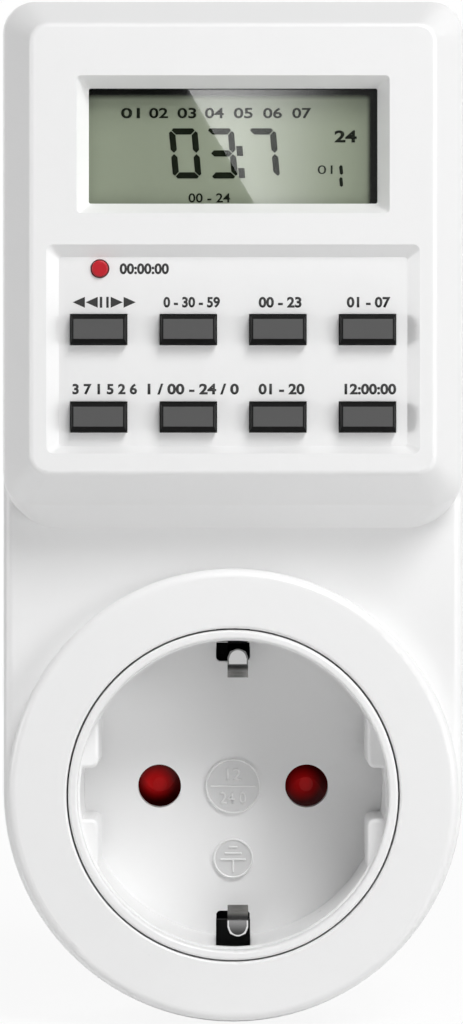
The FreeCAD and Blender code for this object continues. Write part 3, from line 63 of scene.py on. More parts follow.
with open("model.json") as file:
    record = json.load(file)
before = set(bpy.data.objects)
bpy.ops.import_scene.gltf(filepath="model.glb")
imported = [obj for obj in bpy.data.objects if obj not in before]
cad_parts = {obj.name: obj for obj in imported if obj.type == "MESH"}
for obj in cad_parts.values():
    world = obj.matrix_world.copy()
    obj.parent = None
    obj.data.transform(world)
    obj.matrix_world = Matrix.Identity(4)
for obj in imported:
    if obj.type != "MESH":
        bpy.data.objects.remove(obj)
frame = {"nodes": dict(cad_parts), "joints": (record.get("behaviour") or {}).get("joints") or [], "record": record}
CAD_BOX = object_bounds()

MM = 0.001

# Levels of the timer, in mm in front of the plug's face
REAR_PLANE = 17.0
# Depth of the painted shade behind the earth slots
SLOT_SHADE_FRONT = 20.5
PARTING_FRONT = 29.0
# Front level behind which the earth spring is painted in shade
SPRING_SHADE_FRONT = 39.0

# Sizes and places seen from the front, in mm
RECESS_DEPTH = 17.5
DISC_RELIEF = 0.25
CENTRE_DISC_RADIUS = 3.6
EARTH_DISC_RADIUS = 2.6
EARTH_DISC_Z = -9.33
# Height of the painted shade behind each earth slot, above and below the axis
SLOT_SHADE_Z = 20.0
SPRING_X = 0.6
SPRING_KNEE_Z = 16.2
SPRING_SHOULDER_Z = 16.9
# Centres of the painted light on the shutter, behind the pin holes
SHUTTER_PAINTED_LIGHT_SPOTS = ((-9.9, 0.2), (9.0, 0.2))
KEY_PITCH = 11.1
KEY_GREY_HALF = 3.06
PANEL_DEPTH = 1.2
MAT_SHEET = 1.0
MAT_CUT_GAP = 0.02
DAY_CENTRES = (-12.77, -9.27, -5.75, -2.33, 1.26, 4.91, 8.54)
SEGMENTS_OF = {"0": "abcdef", "3": "abcdg", "7": "abc"}
SEGMENT_GAP = 0.07
SEGMENT_LIFT = 0.01
MARK_BEVEL = 0.07
MARK_SUNK = 0.02

# Studio: lamps and floor in metres, camera and cards in mm
LAMP_AIM = (0, -0.05, 0.035)
LAMP_DISTANCE = 0.9
FLOOR_HALF = 3.0
CAMERA_LENS = 146.25
CAMERA_SENSOR = 36.0
CAMERA_X = -0.2
CARDS_BEHIND_CAMERA = 100

# Places of the colour sockets on a Mix node
MIX_FIRST = 6
MIX_SECOND = 7
MIX_RESULT = 2

OWN_FINISHES = {
    "shutter": "shutter_red",
    "plug_earth_strip": "plug_strip",
    "socket_earth_spring": "clip_strip",
}
FINISHES = {}


def front_of(node):
    """How far a node's front stands in front of the plug's face, in mm."""
    return -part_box(node)[0][1] / MM


def colour(name, description, value):
    return FloatVectorProperty(name=name, description=description, default=value, subtype="COLOR",
                               size=3, min=0, max=1)


def length(name, description, millimetres):
    return FloatProperty(name=name, description=description, default=millimetres * MM, unit="LENGTH",
                         precision=5, min=0)


class TimerColours(bpy.types.PropertyGroup):
    """Colours of the parts that show."""

    housing: colour("Housing", "Main white of the shells and keys' panel", (0.87, 0.87, 0.87))
    socket: colour("Socket cup", "White of the separate cup", (0.88, 0.88, 0.88))
    key_top: colour("Key tops", "Grey of the keys' flat tops", (0.106, 0.106, 0.106))
    key_side: colour("Key sides", "Near black of the keys' bevels", (0.006, 0.006, 0.006))
    red: colour("Reset red", "Red of the reset button", (0.5, 0.008, 0.018))
    shutter: colour("Shutter red", "Deep red of the socket's shutter", (0.8, 0.006, 0.008))
    display: colour("Display", "Grey-green of the display cell", (0.345, 0.384, 0.29))
    ink: colour("Ink", "Printed marks on the panel", (0.012, 0.012, 0.012))
    segment: colour("Display marks", "Dark state of the display's segments", (0.006, 0.009, 0.004))


class TimerSizes(bpy.types.PropertyGroup):
    """Sizes of the printed and moulded marks, and the camera's place."""

    label_height: length("Label height", "Height of the printed figures above the keys", 1.35)
    digit_height: length("Digit height", "Height of the display's large digits", 6.25)
    digit_width: length("Digit width", "Width of the display's large digits", 3.56)
    segment_width: length("Segment width", "Width of one display segment", 0.78)
    ink_depth: length("Ink depth", "Thickness of print and display marks", 0.02)
    mark_relief: length("Mark relief", "Height of the moulded marks on the socket floor", 0.22)
    camera_distance: length("Camera distance", "From the plug's face to the camera", 567.5)
    camera_height: length("Camera height", "Height of the camera above the socket's axis", 35.4)


def settings():
    return bpy.context.scene.timer_colours, bpy.context.scene.timer_sizes


# Shader node groups


class Graph:
    """Adds and joins nodes in one tree."""

    def __init__(self, tree):
        self.tree = tree

    def node(self, kind, **values):
        made = self.tree.nodes.new(f"ShaderNode{kind}")
        for name, value in values.items():
            setattr(made, name, value)
        return made

    def join(self, source, target):
        self.tree.links.new(source, target)

    def value(self, operation, *inputs):
        made = self.node("Math", operation=operation)
        for socket, given in zip(made.inputs, inputs):
            self.feed(given, socket)
        return made.outputs[0]

    def feed(self, given, socket):
        if isinstance(given, bpy.types.NodeSocket):
            self.join(given, socket)
        else:
            socket.default_value = given

    def blend(self, factor, first, second):
        """Mixes two colours; returns the result socket."""
        made = self.node("Mix", data_type="RGBA")
        self.feed(factor, made.inputs["Factor"])
        self.feed(first, made.inputs[MIX_FIRST])
        self.feed(second, made.inputs[MIX_SECOND])
        return made.outputs[MIX_RESULT]

    def blend_shaders(self, factor, first, second):
        """Mixes two shaders; returns the result socket."""
        made = self.node("MixShader")
        for socket, given in zip(made.inputs, (factor, first, second)):
            self.join(given, socket)
        return made.outputs[0]

    def noise(self, place, scale, detail):
        made = self.node("TexNoise")
        self.join(place, made.inputs["Vector"])
        self.feed(scale, made.inputs["Scale"])
        made.inputs["Detail"].default_value = detail
        return made.outputs["Fac"]

    def ramp(self, source, low, high):
        """0 below low and 1 above high, smooth between."""
        made = self.node("MapRange", interpolation_type="SMOOTHSTEP")
        self.join(source, made.inputs["Value"])
        self.feed(low, made.inputs["From Min"])
        self.feed(high, made.inputs["From Max"])
        return made.outputs["Result"]

    def fade(self, source, low, high):
        """1 below low and 0 above high, smooth between."""
        return self.value("SUBTRACT", 1.0, self.ramp(source, low, high))

    def place(self):
        return self.node("TexCoord").outputs["Object"]

    def axis(self, letter):
        split = self.node("SeparateXYZ")
        self.join(self.place(), split.inputs[0])
        return split.outputs[letter]

    def front(self):
        """Distance in front of the plug's face, in metres."""
        return self.value("MULTIPLY", self.axis("Y"), -1.0)

    def distance_along(self, letter, start=0.0):
        """Distance along one axis from a place given in mm."""
        return self.value("ABSOLUTE", self.value("SUBTRACT", self.axis(letter), start * MM))

    def flat_place(self):
        """Place seen from the front: its depth is left out."""
        flat = self.node("Mapping")
        self.join(self.place(), flat.inputs["Vector"])
        flat.inputs["Scale"].default_value = (1, 0, 1)
        return flat.outputs[0]

    def apart(self, flat, x, z):
        """Distance from a point of the front view, given in mm."""
        distance = self.node("VectorMath", operation="DISTANCE")
        self.join(flat, distance.inputs[0])
        distance.inputs[1].default_value = (x * MM, 0, z * MM)
        return distance.outputs["Value"]

    def nearest(self, points):
        """Distance from the nearer of two points of the front view, given in mm."""
        flat = self.flat_place()
        return self.value("MINIMUM", *(self.apart(flat, x, z) for x, z in points))


def rgba(value):
    return (*value, 1.0)


def new_group(name, inputs, outputs):
    """A shader node group with named sockets: (name, kind, default) and (name, kind)."""
    tree = bpy.data.node_groups.new(name, "ShaderNodeTree")
    for label, kind, default in inputs:
        made = tree.interface.new_socket(name=label, in_out="INPUT", socket_type=f"NodeSocket{kind}")
        made.default_value = default
    for label, kind in outputs:
        tree.interface.new_socket(name=label, in_out="OUTPUT", socket_type=f"NodeSocket{kind}")
    graph = Graph(tree)
    return graph, tree.nodes.new("NodeGroupInput").outputs, tree.nodes.new("NodeGroupOutput").inputs


SURFACE_OUTPUTS = (("Color", "Color"), ("Roughness", "Float"), ("Height", "Float"))


def moulded_group():
    """Moulded plastic: faint clouding, uneven gloss and a fine spark-eroded grain."""
    graph, given, out = new_group("Moulded Surface", (
        ("Color", "Color", (0.8, 0.8, 0.8, 1)),
        ("Cloud Color", "Color", (0.7, 0.7, 0.7, 1)),
        ("Cloud Amount", "Float", 0.3),
        ("Cloud Scale", "Float", 60.0),
        ("Roughness", "Float", 0.35),
        ("Roughness Spread", "Float", 0.1),
        ("Grain Scale", "Float", 6000.0),
    ), SURFACE_OUTPUTS)
    place = graph.place()
    cloud = graph.noise(place, given["Cloud Scale"], 3.0)
    graph.join(graph.blend(graph.value("MULTIPLY", cloud, given["Cloud Amount"]),
                           given["Color"], given["Cloud Color"]), out["Color"])
    gloss = graph.value("SUBTRACT", graph.noise(place, 420.0, 4.0), 0.5)
    graph.join(graph.value("MULTIPLY_ADD", gloss, given["Roughness Spread"], given["Roughness"]),
               out["Roughness"])
    fine = graph.noise(place, given["Grain Scale"], 2.0)
    wave = graph.noise(place, 90.0, 1.0)
    graph.join(graph.value("MULTIPLY_ADD", wave, 3.0, fine), out["Height"])
    return graph.tree


def metal_group():
    """Drawn or stamped metal: fine lines along one axis and dull patches."""
    graph, given, out = new_group("Drawn Metal", (
        ("Color", "Color", (0.7, 0.7, 0.7, 1)),
        ("Dull Color", "Color", (0.5, 0.5, 0.5, 1)),
        ("Dull Amount", "Float", 0.4),
        ("Roughness", "Float", 0.25),
        ("Roughness Spread", "Float", 0.2),
        ("Line Stretch", "Vector", (4000.0, 200.0, 4000.0)),
    ), SURFACE_OUTPUTS)
    place = graph.place()
    stretch = graph.node("VectorMath", operation="MULTIPLY")
    graph.join(place, stretch.inputs[0])
    graph.join(given["Line Stretch"], stretch.inputs[1])
    lines = graph.noise(stretch.outputs[0], 1.0, 2.0)
    patches = graph.noise(place, 350.0, 3.0)
    graph.join(graph.blend(graph.value("MULTIPLY", patches, given["Dull Amount"]),
                           given["Color"], given["Dull Color"]), out["Color"])
    mixed = graph.value("MULTIPLY_ADD", lines, 0.6, graph.value("MULTIPLY", patches, 0.4))
    graph.join(graph.value("MULTIPLY_ADD", graph.value("SUBTRACT", mixed, 0.5), given["Roughness Spread"],
                           given["Roughness"]), out["Roughness"])
    graph.join(lines, out["Height"])
    return graph.tree


def stripes_group():
    """Soft-edged stripes across X, with a given pitch and share of dark."""
    graph, given, out = new_group("Cross Stripes", (
        ("Pitch", "Float", 0.001),
        ("Dark Share", "Float", 0.5),
    ), (("Mask", "Float"),))
    turns = graph.value("DIVIDE", graph.axis("X"), given["Pitch"])
    phase = graph.value("PINGPONG", turns, 0.5)
    edge = graph.value("MULTIPLY", given["Dark Share"], 0.5)
    graph.join(graph.ramp(phase, edge, graph.value("ADD", edge, 0.06)), out["Mask"])
    return graph.tree


def tracks_group():
    """Printed board: tracks along the edges of near-square cells, and round pads."""
    graph, given, out = new_group("Board Tracks", (
        ("Track Scale", "Float", 260.0),
        ("Track Width", "Float", 0.12),
    ), (("Mask", "Float"), ("Pads", "Float")))
    flat = graph.flat_place()
    cells = graph.node("TexVoronoi", feature="DISTANCE_TO_EDGE")
    cells.inputs["Randomness"].default_value = 0.35
    graph.join(flat, cells.inputs["Vector"])
    graph.join(given["Track Scale"], cells.inputs["Scale"])
    edge = graph.value("ADD", given["Track Width"], 0.03)
    graph.join(graph.fade(cells.outputs["Distance"], given["Track Width"], edge), out["Mask"])
    dots = graph.node("TexVoronoi", feature="F1")
    graph.join(flat, dots.inputs["Vector"])
    dots.inputs["Scale"].default_value = 330.0
    graph.join(graph.fade(dots.outputs["Distance"], 0.13, 0.17), out["Pads"])
    return graph.tree


def group_tree(name):
    makers = {"Moulded Surface": moulded_group, "Drawn Metal": metal_group, "Cross Stripes": stripes_group,
              "Board Tracks": tracks_group}
    return bpy.data.node_groups.get(name) or makers[name]()


class Finish:
    """One material: a Principled shader whose colour, roughness and bump come from nodes."""

    def __init__(self, name, **constants):
        self.name = name
        self.material = bpy.data.materials.new(name)
        self.material.use_nodes = True
        self.graph = Graph(self.material.node_tree)
        self.shader = self.material.node_tree.nodes["Principled BSDF"]
        for label, given in constants.items():
            self.shader.inputs[label.replace("_", " ")].default_value = given

    def group(self, name, **values):
        made = self.graph.node("Group", node_tree=group_tree(name))
        for label, given in values.items():
            self.graph.feed(given, made.inputs[label.replace("_", " ")])
        return made.outputs

    def surface(self, outputs, bump, distance=0.00005):
        """Feeds a surface group's outputs to the shader."""
        self.graph.join(outputs["Color"], self.shader.inputs["Base Color"])
        self.graph.join(outputs["Roughness"], self.shader.inputs["Roughness"])
        relief = self.graph.node("Bump")
        relief.inputs["Strength"].default_value = bump
        relief.inputs["Distance"].default_value = distance
        self.graph.join(outputs["Height"], relief.inputs["Height"])
        self.graph.join(relief.outputs[0], self.shader.inputs["Normal"])

    def paint(self, colour_socket):
        self.graph.join(colour_socket, self.shader.inputs["Base Color"])

    def painted(self):
        """The colour painted so far."""
        return self.shader.inputs["Base Color"].links[0].from_socket


def shade(value, factor):
    return tuple(min(1.0, channel * factor) for channel in value)


def grey(value):
    return (value, value, value)


def plastic(name, base, roughness, cloud=0.92, bump=0.12, **constants):
    finish = Finish(name, **constants)
    outputs = finish.group("Moulded Surface", Color=rgba(base), Cloud_Color=rgba(shade(base, cloud)),
                           Roughness=roughness)
    finish.surface(outputs, bump)
    return finish


def metal(name, base, roughness, dull=0.75, bump=0.15, stretch=(4000.0, 200.0, 4000.0)):
    finish = Finish(name, Metallic=1.0)
    outputs = finish.group("Drawn Metal", Color=rgba(base), Dull_Color=rgba(shade(base, dull)),
                           Roughness=roughness, Line_Stretch=stretch)
    finish.surface(outputs, bump, 0.00002)
    return finish


def key_finish():
    """Grey flat top, near-black bevels."""
    colours, _ = settings()
    finish = plastic("grey_keys", colours.key_top, 0.45, 0.92, 0.15, Specular_IOR_Level=0.06)
    graph = finish.graph
    top = front_of("clock_key") * MM
    flat = graph.ramp(graph.front(), top - 0.1 * MM, top - 0.03 * MM)
    from_first = graph.value("ADD", graph.axis("X"), KEY_PITCH * 1.5 * MM)
    across = graph.value("PINGPONG", from_first, KEY_PITCH / 2 * MM)
    inner = graph.fade(across, (KEY_GREY_HALF - 0.06) * MM, (KEY_GREY_HALF + 0.06) * MM)
    finish.paint(graph.blend(graph.value("MULTIPLY", flat, inner), rgba(colours.key_side), finish.painted()))
    return finish


def housing_finish():
    """White shells, with the fine dark line where they meet and painted shade behind the earth slots."""
    colours, _ = settings()
    finish = plastic("white_housing", colours.housing, 0.3, 0.965, 0.06,
                     Coat_Weight=0.15, Coat_Roughness=0.12)
    graph = finish.graph
    seam = graph.ramp(graph.distance_along("Y", -PARTING_FRONT), 0.05 * MM, 0.12 * MM)
    lined = graph.blend(seam, rgba(grey(0.1)), finish.painted())
    # Painted shade: near-black patches on the inner walls seen through the two earth slots, at their depth.
    aside = graph.ramp(graph.nearest(((0, -SLOT_SHADE_Z), (0, SLOT_SHADE_Z))), 4.4 * MM, 5.2 * MM)
    beyond = graph.ramp(graph.distance_along("Y", -SLOT_SHADE_FRONT), 2.0 * MM, 2.4 * MM)
    finish.paint(graph.blend(graph.value("MAXIMUM", aside, beyond), rgba(grey(0.006)), lined))
    return finish


def display_finish():
    """Grey-green glossy cell, with a painted shadow along its top and right edges."""
    colours, _ = settings()
    finish = Finish("display_glass", IOR=2.2)
    graph = finish.graph
    outputs = finish.group("Moulded Surface", Color=rgba(colours.display),
                           Cloud_Color=rgba(shade(colours.display, 0.93)))
    finish.paint(outputs["Color"])
    graph.join(graph.value("MULTIPLY", graph.noise(graph.place(), 500.0, 3.0), 0.05),
               finish.shader.inputs["Roughness"])
    _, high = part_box("display_window")
    # Painted shadow of the window's frame on the cell: near black towards its top and right edges.
    margin = 1.2 * MM
    from_top = graph.value("SUBTRACT", high[2] - margin, graph.axis("Z"))
    from_right = graph.value("SUBTRACT", high[0] - margin, graph.axis("X"))
    clear = graph.value("MULTIPLY", graph.ramp(from_top, 0.5 * MM, 1.45 * MM),
                        graph.ramp(from_right, 0.7 * MM, 1.45 * MM))
    finish.paint(graph.blend(clear, (0.003, 0.0035, 0.0025, 1.0), finish.painted()))
    return finish


def window_finish():
    """Clear window: gloss on top, lamps pass through."""
    finish = Finish("clear_window", Transmission_Weight=1.0, IOR=1.45, Roughness=0.02)
    finish.shader.inputs["Base Color"].default_value = (0.985, 0.99, 0.985, 1)
    graph = finish.graph
    haze = graph.noise(graph.place(), 500.0, 3.0)
    graph.join(graph.value("MULTIPLY", haze, 0.008), finish.shader.inputs["Roughness"])
    clear = graph.node("BsdfTransparent")
    clear.inputs[0].default_value = (0.97, 0.975, 0.97, 1)
    path = graph.node("LightPath")
    passing = graph.value("MAXIMUM", path.outputs["Is Shadow Ray"], path.outputs["Is Diffuse Ray"])
    shown = graph.blend_shaders(passing, finish.shader.outputs[0], clear.outputs[0])
    graph.join(shown, graph.tree.nodes["Material Output"].inputs["Surface"])
    return finish


def board_finish():
    """Green laminate with tracks under its mask and bare pads."""
    finish = plastic("board_laminate", (0.02, 0.12, 0.045), 0.32, 0.8, 0.15)
    graph = finish.graph
    tracks = finish.group("Board Tracks")
    copper = graph.blend(tracks["Mask"], finish.painted(), (0.035, 0.2, 0.07, 1))
    finish.paint(graph.blend(tracks["Pads"], copper, (0.62, 0.6, 0.55, 1)))
    return finish


def striped_finish(name, dark, light, pitch, share, roughness):
    """Dark stripes on a light ground; the pitch is in metres."""
    finish = plastic(name, light, roughness, 0.9, 0.1)
    stripes = finish.group("Cross Stripes", Pitch=pitch, Dark_Share=share)
    finish.paint(finish.graph.blend(stripes["Mask"], rgba(dark), finish.painted()))
    return finish


def resistor_finish():
    """Lacquered barrel with colour rings round it."""
    finish = plastic("resistor_body", (0.36, 0.52, 0.55), 0.35, 0.9, 0.1)
    graph = finish.graph
    low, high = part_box("fuse_resistor")
    middle = (low[2] + high[2]) / 2 / MM
    result = finish.painted()
    for offset, ring in ((-3.0, (0.45, 0.2, 0.02)), (-1.6, (0.02, 0.02, 0.02)), (-0.2, (0.3, 0.02, 0.02)),
                         (2.6, (0.6, 0.45, 0.12))):
        outside = graph.ramp(graph.distance_along("Z", middle + offset), 0.35 * MM, 0.42 * MM)
        result = graph.blend(outside, rgba(ring), result)
    finish.paint(result)
    return finish


def sleeve_finish():
    """Shrunk sleeve of the capacitor, with a pale stripe down one side."""
    finish = plastic("capacitor_sleeve", (0.015, 0.02, 0.06), 0.3, 0.8, 0.1)
    graph = finish.graph
    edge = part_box("smoothing_capacitor")[1][0] - 1.4 * MM
    stripe = graph.ramp(graph.axis("X"), edge - 0.1 * MM, edge)
    finish.paint(graph.blend(stripe, finish.painted(), (0.55, 0.56, 0.58, 1)))
    return finish


def plug_strip_finish():
    """Plug's side contact strip: bright outside, with painted shade where it lies in the case."""
    finish = metal("plug_strip", (0.62, 0.61, 0.59), 0.24)
    graph = finish.graph
    # Painted shade: near black where the strip runs into the case.
    inside = graph.ramp(graph.front(), (REAR_PLANE - 1.0) * MM, (REAR_PLANE - 0.4) * MM)
    finish.paint(graph.blend(inside, finish.painted(), rgba(grey(0.004))))
    return finish


def earth_spring_finish():
    """Socket's earth spring: painted light and shade on its two tongues and their cut rims, painted shade on the
    slopes under them and behind.
    """
    finish = metal("clip_strip", (0.68, 0.67, 0.65), 0.2, 0.6, 0.04, (300.0, 300.0, 2600.0))
    graph = finish.graph
    height = graph.distance_along("Z")
    knee, shoulder = SPRING_KNEE_Z, SPRING_SHOULDER_Z
    upper = graph.ramp(graph.axis("Z"), -1.0 * MM, 1.0 * MM)
    side = graph.ramp(graph.distance_along("X", SPRING_X), 1.08 * MM, 1.16 * MM)
    tip = graph.ramp(graph.nearest(((SPRING_X, -shoulder), (SPRING_X, shoulder))), 1.02 * MM, 1.1 * MM)
    past_shoulder = graph.ramp(height, shoulder * MM, (shoulder + 0.1) * MM)
    # Painted highlight on the lower tongue's cut rim and painted shade on the upper tongue's rim.
    rim_light_and_shade = graph.value("MAXIMUM", side, graph.value("MULTIPLY", tip, past_shoulder))
    # Painted shade: the lower tongue darkens from its knee towards its tip; the upper tongue is painted lit.
    lower_tongue_shade = graph.blend(graph.ramp(height, knee * MM, (knee + 1.7) * MM), rgba(grey(0.24)), rgba(grey(0.05)))
    face = graph.blend(upper, lower_tongue_shade, rgba(grey(0.54)))
    tongue = graph.blend(rim_light_and_shade, face, graph.blend(upper, rgba(grey(0.65)), rgba(grey(0.16))))
    # Painted shade on the slopes under the tongues.
    slope = graph.blend(graph.ramp(height, (knee - 1.0) * MM, (knee - 0.4) * MM),
                        finish.painted(), rgba(grey(0.13)))
    bent = graph.ramp(height, (knee - 0.05) * MM, (knee + 0.05) * MM)
    # Painted shade: near black deeper than the spring's shade level.
    outer = graph.ramp(graph.front(), (SPRING_SHADE_FRONT - 0.2) * MM, (SPRING_SHADE_FRONT + 0.2) * MM)
    finish.paint(graph.blend(outer, rgba(grey(0.01)), graph.blend(bent, slope, tongue)))
    return finish


def shutter_finish():
    """Clear red plastic, with painted light behind the two pin holes and painted shade round them."""
    colours, _ = settings()
    finish = plastic("shutter_red", colours.shutter, 0.3, 0.8, 0.06, Specular_IOR_Level=0.15)
    graph = finish.graph
    # Painted light: full red at the two hole centres, fading to painted shade a tenth as bright round them.
    painted_light_and_shade = graph.ramp(graph.nearest(SHUTTER_PAINTED_LIGHT_SPOTS), 0.5 * MM, 2.7 * MM)
    finish.paint(graph.blend(painted_light_and_shade, finish.painted(), rgba(shade(colours.shutter, 0.1))))
    return finish


def socket_finish():
    """White cup; its two low discs are a shade duller than the floor round them."""
    colours, _ = settings()
    finish = plastic("white_socket", colours.socket, 0.3, 0.96, 0.06, Coat_Weight=0.1, Coat_Roughness=0.12)
    graph = finish.graph
    flat = graph.flat_place()
    result = finish.painted()
    disc_front = front_of("socket_insert") - RECESS_DEPTH + DISC_RELIEF
    above_floor = graph.ramp(graph.front(), (disc_front - 0.25) * MM, (disc_front - 0.05) * MM)
    below_rings = graph.fade(graph.front(), (disc_front + 0.35) * MM, (disc_front + 0.55) * MM)
    level = graph.value("MULTIPLY", above_floor, below_rings)
    for z, radius in ((0, CENTRE_DISC_RADIUS - 0.25), (EARTH_DISC_Z, EARTH_DISC_RADIUS - 0.25)):
        disc = graph.fade(graph.apart(flat, 0, z), (radius - 0.05) * MM, radius * MM)
        result = graph.blend(graph.value("MULTIPLY", disc, level), result, rgba(shade(colours.socket, 0.8)))
    finish.paint(result)
    return finish


def make_finishes():
    """Every finish by name: the record's material slots, and those that only the scene has."""
    colours, _ = settings()
    made = (
        housing_finish(),
        socket_finish(),
        plastic("red_plastic", colours.red, 0.3, 0.8, 0.06, Specular_IOR_Level=0.35),
        shutter_finish(),
        plastic("carrier_plastic", (0.72, 0.7, 0.64), 0.5),
        metal("spring_steel", (0.58, 0.58, 0.59), 0.3),
        metal("nickel_strip", (0.37, 0.365, 0.35), 0.2, 0.6, 0.04, (300.0, 300.0, 2600.0)),
        plug_strip_finish(),
        earth_spring_finish(),
        board_finish(),
        window_finish(),
        display_finish(),
        plastic("frame_plastic", (0.6, 0.6, 0.59), 0.5),
        striped_finish("zebra_rubber", (0.02, 0.02, 0.02), (0.6, 0.58, 0.5), 0.00018, 0.5, 0.7),
        plastic("component_black", (0.02, 0.02, 0.021), 0.5, 0.6, 0.4),
        plastic("keypad_silicone", (0.36, 0.37, 0.38), 0.65, 0.85, 0.3),
        plastic("relay_housing", (0.012, 0.07, 0.26), 0.3, 0.8, 0.1),
        plastic("capacitor_yellow", (0.72, 0.44, 0.03), 0.28, 0.88, 0.1),
        sleeve_finish(),
        plastic("varistor_coat", (0.03, 0.1, 0.36), 0.4, 0.75, 0.5),
        plastic("floor_mark", colours.socket, 0.3, 0.98, 0.04),
        resistor_finish(),
        metal("solder", (0.75, 0.75, 0.76), 0.3, 0.8, 0.4, (900.0, 900.0, 900.0)),
        metal("battery_can", (0.72, 0.72, 0.7), 0.22),
        striped_finish("ribbon", (0.3, 0.3, 0.31), (0.62, 0.62, 0.6), 0.00127, 0.25, 0.5),
        metal("screw_steel", (0.36, 0.36, 0.38), 0.32, 0.7, 0.2, (2500.0, 2500.0, 2500.0)),
        metal("contact_brass", (0.78, 0.57, 0.25), 0.25),
        metal("pin_nickel", (0.58, 0.56, 0.51), 0.18, 0.85),
        metal("copper_bar", (0.8, 0.42, 0.26), 0.28),
        key_finish(),
        plastic("panel_ink", colours.ink, 0.5, 0.7, 0.15),
        plastic("display_segment", colours.segment, 0.4, 0.7, 0.15, Specular_IOR_Level=0.05),
    )
    return {finish.name: finish.material for finish in made}


# Pieces


def new_piece(name, bm, material_name):
    """Turns a bmesh into a named piece that rides on the housing."""
    bmesh.ops.remove_doubles(bm, verts=bm.verts, dist=1e-7)
    bmesh.ops.recalc_face_normals(bm, faces=bm.faces)
    mesh = bpy.data.meshes.new(name)
    bm.to_mesh(mesh)
    bm.free()
    piece = bpy.data.objects.new(name, mesh)
    bpy.context.scene.collection.objects.link(piece)
    mesh.materials.append(FINISHES[material_name])
    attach(piece, "housing")
    return piece


def flat_face(bm, points):
    """One face from (x, z) points in mm, in the plane y = 0, facing the viewer."""
    return bm.faces.new([bm.verts.new((x * MM, 0, z * MM)) for x, z in points])


def bar(bm, left, right, low, high):
    return flat_face(bm, ((left, low), (right, low), (right, high), (left, high)))


def thicken(bm, front, depth):
    """Gives flat faces a thickness and brings their back to a front level, in mm."""
    grown = bmesh.ops.extrude_face_region(bm, geom=bm.faces[:])
    verts = [item for item in grown["geom"] if isinstance(item, bmesh.types.BMVert)]
    bmesh.ops.translate(bm, verts=verts, vec=(0, -depth, 0))
    bmesh.ops.translate(bm, verts=bm.verts, vec=(0, -front * MM, 0))


def write_figures(bm, text, x, z, width, height, offset):
    """Plain figures of one width and height, centred on x with their foot at z, all in mm."""
    curve = bpy.data.curves.new("figures", "FONT")
    curve.body = text
    curve.offset = offset
    curve.resolution_u = 4
    holder = bpy.data.objects.new("figures", curve)
    bpy.context.scene.collection.objects.link(holder)
    mesh = bpy.data.meshes.new_from_object(holder.evaluated_get(bpy.context.evaluated_depsgraph_get()))
    bpy.data.objects.remove(holder)
    bpy.data.curves.remove(curve)
    xs, ys = [[vertex.co[axis] for vertex in mesh.vertices] for axis in (0, 1)]
    middle = Matrix.Translation((-(min(xs) + max(xs)) / 2, -min(ys), 0))
    fit = Matrix.Diagonal((width * MM / (max(xs) - min(xs)), height * MM / (max(ys) - min(ys)), 1, 1))
    mesh.transform(Matrix.Translation((x * MM, 0, z * MM)) @ Matrix.Rotation(math.radians(90), 4, "X")
                   @ fit @ middle)
    bm.from_mesh(mesh)
    bpy.data.meshes.remove(mesh)


def digit_segments(width, height, thick):
    """Outlines of a seven-segment digit's seven mitred segments, in mm from its foot's left corner."""
    cut, middle, half, gap = thick * 0.7, height / 2, thick / 2, SEGMENT_GAP
    top = (
        (cut, height), (width - cut, height), (width - cut / 2 - gap, height - cut / 2),
        (width - thick - gap, height - thick), (thick + gap, height - thick),
        (cut / 2 + gap, height - cut / 2),
    )
    side = (
        (0, height - cut), (cut / 2, height - cut / 2 - gap), (thick, height - thick - gap),
        (thick, middle + half + gap), (half, middle + gap), (0, middle + half + gap),
    )
    bridge = (
        (half + gap, middle), (thick + gap, middle + half), (width - thick - gap, middle + half),
        (width - half - gap, middle), (width - thick - gap, middle - half), (thick + gap, middle - half),
    )
    other = [(width - x, z) for x, z in side]
    upper = {"a": top, "b": other, "f": side, "g": bridge}
    mirrored = (("c", "b"), ("d", "a"), ("e", "f"))
    return upper | {low: [(x, height - z) for x, z in upper[high]] for low, high in mirrored}


def leaned_face(bm, points, left, foot, lean):
    """A flat face from (x, z) points above a foot level, leaned sideways with height."""
    flat_face(bm, [(left + x + z * lean, foot + z) for x, z in points])


def cut_mat(level, domes):
    """The modelled keypad mat's domes, or the sheet that they stand on."""
    bm = bmesh.new()
    bm.from_mesh(frame["nodes"]["keypad_mat"].data)
    bmesh.ops.remove_doubles(bm, verts=bm.verts, dist=1e-6)
    shift = (-MAT_CUT_GAP if domes else MAT_CUT_GAP) * MM
    cut = bmesh.ops.bisect_plane(bm, geom=bm.verts[:] + bm.edges[:] + bm.faces[:],
                                 plane_co=(0, level + shift, 0), plane_no=(0, -1, 0),
                                 clear_inner=domes, clear_outer=not domes)["geom_cut"]
    bmesh.ops.triangle_fill(bm, edges=[item for item in cut if isinstance(item, bmesh.types.BMEdge)],
                            use_beauty=True, normal=(0, -1, 0))
    bmesh.ops.translate(bm, verts=[item for item in cut if isinstance(item, bmesh.types.BMVert)],
                        vec=(0, -shift, 0))
    return bm


def keypad_domes():
    """The silicone mat as a sheet and one dome piece for each key, all riding on the housing."""
    low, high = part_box("keypad_mat")
    level = high[1] - MAT_SHEET * MM
    sheet = new_piece("mat_sheet", cut_mat(level, False), "keypad_silicone")
    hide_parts("keypad_mat")
    domes = cut_mat(level, True)
    for joint in frame["joints"]:
        if not joint["name"].endswith("_key_press"):
            continue
        key = joint["name"].removesuffix("_press")
        start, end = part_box(key)
        centre = ((start[0] + end[0]) / 2, (start[2] + end[2]) / 2)
        bm = domes.copy()
        away = [face for face in bm.faces
                if math.dist(face.calc_center_median().xz, centre) > KEY_PITCH / 2 * MM]
        bmesh.ops.delete(bm, geom=away, context="FACES")
        dome = new_piece(key.replace("_key", "_dome"), bm, "keypad_silicone")
        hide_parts("keypad_mat")
        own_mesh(dome)
    domes.free()


